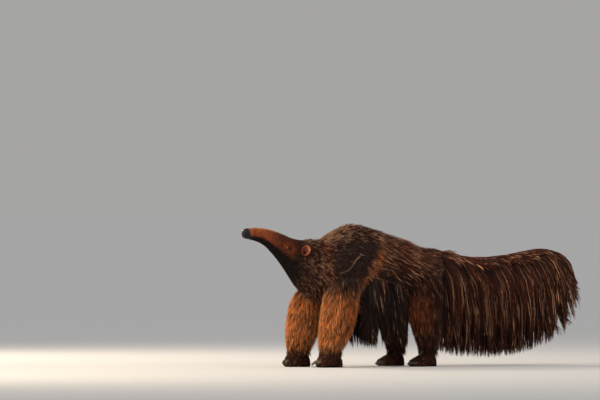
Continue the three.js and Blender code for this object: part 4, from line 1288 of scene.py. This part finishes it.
def tail_locks(kind, count, first, last):
    """Clumps of one kind of the tail's hair, rooted between two places of its core, on both sides."""
    per = kind["per"]
    clump_count = count // per
    middles = draw.uniform(first, last, clump_count)
    start = np.radians(draw.uniform(*kind["start"], clump_count))
    end = np.minimum(np.radians(draw.uniform(*kind["end"], clump_count)), start - 0.12)
    to_end = smooth(middles, 1500, 1712)
    back = np.interp(start, np.radians([-20, 85]), kind["back"]) * (1 + 0.5 * to_end)
    if "rise" not in kind:
        end = end + to_end * np.maximum(0, start - end) * draw.uniform(0, 0.7, clump_count)
    roots = clumps(middles, start, per, 13, 0.13)
    total = len(roots["place"])
    back = np.minimum(np.repeat(back, per) * draw.uniform(0.88, 1.1, total), TAIL_TIP - roots["place"])
    turn = np.repeat(end - start, per) * draw.uniform(0.86, 1.0, total)
    roots = gathered(roots, back, turn, 0.8)
    pull = np.zeros(total)
    if kind.get("low"):
        tip = roots["middle"] + back
        off = (tip / LOCK_PITCH + 0.25 * np.sin(tip / 61)) % 1 - 0.5
        pull = -0.8 * off * LOCK_PITCH
        roots["turn"] = roots["turn"] * (1 - 0.32 * (2 * np.abs(off)) ** 1.5)
    side = np.repeat(draw.choice([-1, 1], clump_count), per)
    ragged = np.repeat(draw.uniform(0, 18, clump_count) * (1 - smooth(middles, 1020, 1120)), per)
    return {
        "place": roots["place"], "angle": np.where(side > 0, roots["angle"], math.pi - roots["angle"]),
        "sweep": roots["sweep"], "turn": side * roots["turn"], "pull": pull,
        "wide": draw.uniform(3.2, 6.2, total), "lift": draw.uniform(*kind["lift"], total) + ragged,
        "deep": np.interp(roots["angle"], np.radians([-20, 40, 90]), [30, 20, 6]), "sink": np.ones(total),
        "rise": np.full(total, kind.get("rise", 0.5)),
        "shade": np.repeat(draw.uniform(0.5, 1.6, clump_count), per),
    }


for name, first, last in (("root", 1015, 1262), ("middle", 1262, 1480), ("end", 1480, 1712)):
    sets = [
        tail_locks(kind, int(TAIL_TUFTS * kind["share"]), END_START if kind.get("at_end") else first, last)
        for kind in TAIL_SETS if name == "end" or not kind.get("at_end")
    ]
    hair = {key: np.concatenate([one[key] for one in sets]) for key in sets[0]}
    lay_coat("coat_tail_" + name, tail_skin, tail_tips, hair, "tail", 5,
             unwrapped(first - 15, last + 15), wave=4.0, ease=1.5)

# Floor. A wide matt studio floor of pale grey, flat and round, under the feet. It only catches the shadows
# and isn't part of the model.
FLOOR_GREY = (0.52, 0.512, 0.502, 1)
FLOOR_RADIUS = 1500
floor_mesh = bmesh.new()
bmesh.ops.create_circle(floor_mesh, cap_ends=True, segments=96, radius=FLOOR_RADIUS)
floor = placed("floor", bpy.data.meshes.new("floor"))
floor_mesh.to_mesh(floor.data)
floor_mesh.free()
floor_paint, tree, shader = finish("floor", 0.9, 0.1)
shader.inputs["Base Color"].default_value = FLOOR_GREY
floor.data.materials.append(floor_paint)

# Light. A large warm lamp stands low ahead of the animal, and one like it on its far side. A weaker cool lamp
# on its near side fills the shadows, and pale air lies all round.
AIR = [(0.04, (0.424, 0.42, 0.413)), (0.3, (0.8, 0.805, 0.82))]
AIR_STRENGTH = 0.9
AIM_HEIGHT = 0.4
world = bpy.data.worlds.new("studio")
bpy.context.scene.world = world
world.use_nodes = True
tree = world.node_tree
height = shade_step(tree, "SeparateXYZ", "Z", {"Vector": shade_step(tree, "TexCoord", "Generated", {})})
tree.links.new(ramp(tree, height, AIR), tree.nodes["Background"].inputs["Color"])
tree.nodes["Background"].inputs["Strength"].default_value = AIR_STRENGTH


def lamp(name, azimuth, elevation, distance, size, power, colour):
    """A round lamp aimed at the middle of the animal, with azimuth 0 at its left side and -90 ahead of it."""
    data = bpy.data.lights.new(name, "AREA")
    data.shape = "DISK"
    data.size, data.energy, data.color = size, power, colour
    a, e = math.radians(azimuth), math.radians(elevation)
    back = np.array([math.sin(a) * math.cos(e), -math.cos(a) * math.cos(e), math.sin(e)])
    made = placed(name, data)
    made.location = back * distance + [0, 0, AIM_HEIGHT]
    made.rotation_mode = "QUATERNION"
    made.rotation_quaternion = Vector(back).to_track_quat("Z", "Y")


lamp("key", -84, 28, distance=5.5, size=1.4, power=205, colour=(1.0, 0.82, 0.6))
lamp("rim", -158, 30, distance=5.5, size=1.2, power=240, colour=(1.0, 0.84, 0.64))
lamp("fill", 20, 24, distance=6.0, size=2.4, power=30, colour=(0.9, 0.94, 1.0))

# Camera. It stands a long way off at the animal's left, a little ahead of it and about as high as its back,
# with a long lens. The pixel column of the nose tip and the row of the floor set the frame.
CAMERA_TURN = math.radians(-30)
CAMERA_DISTANCE = 40.06
CAMERA_HEIGHT = 0.75
LENS, SENSOR = 500, 36
VIEW_REACH = 4000
PIXELS_PER_METRE = 208
FRAME_WIDE, FRAME_HIGH = 600, 400
NOSE_PIXEL, GROUND_PIXEL = 243, 366
to_right = np.array([math.cos(CAMERA_TURN), math.sin(CAMERA_TURN), 0])
to_back = np.array([math.sin(CAMERA_TURN), -math.cos(CAMERA_TURN), 0])
nose_right = -NOSE_TO_ORIGIN / 1000 * to_right[0]
aim = to_right * (nose_right + (FRAME_WIDE / 2 - NOSE_PIXEL) / PIXELS_PER_METRE)
ground_drop = (GROUND_PIXEL - FRAME_HIGH / 2) / PIXELS_PER_METRE - CAMERA_HEIGHT
view = bpy.data.cameras.new("camera")
view.lens, view.sensor_width, view.clip_end = LENS, SENSOR, VIEW_REACH
view.shift_y = ground_drop * PIXELS_PER_METRE / FRAME_WIDE
camera = placed("camera", view)
camera.location = aim + to_back * CAMERA_DISTANCE + [0, 0, CAMERA_HEIGHT]
camera.rotation_euler = (math.pi / 2, 0, CAMERA_TURN)
bpy.context.scene.camera = camera
bpy.context.scene.view_settings.view_transform = "Standard"
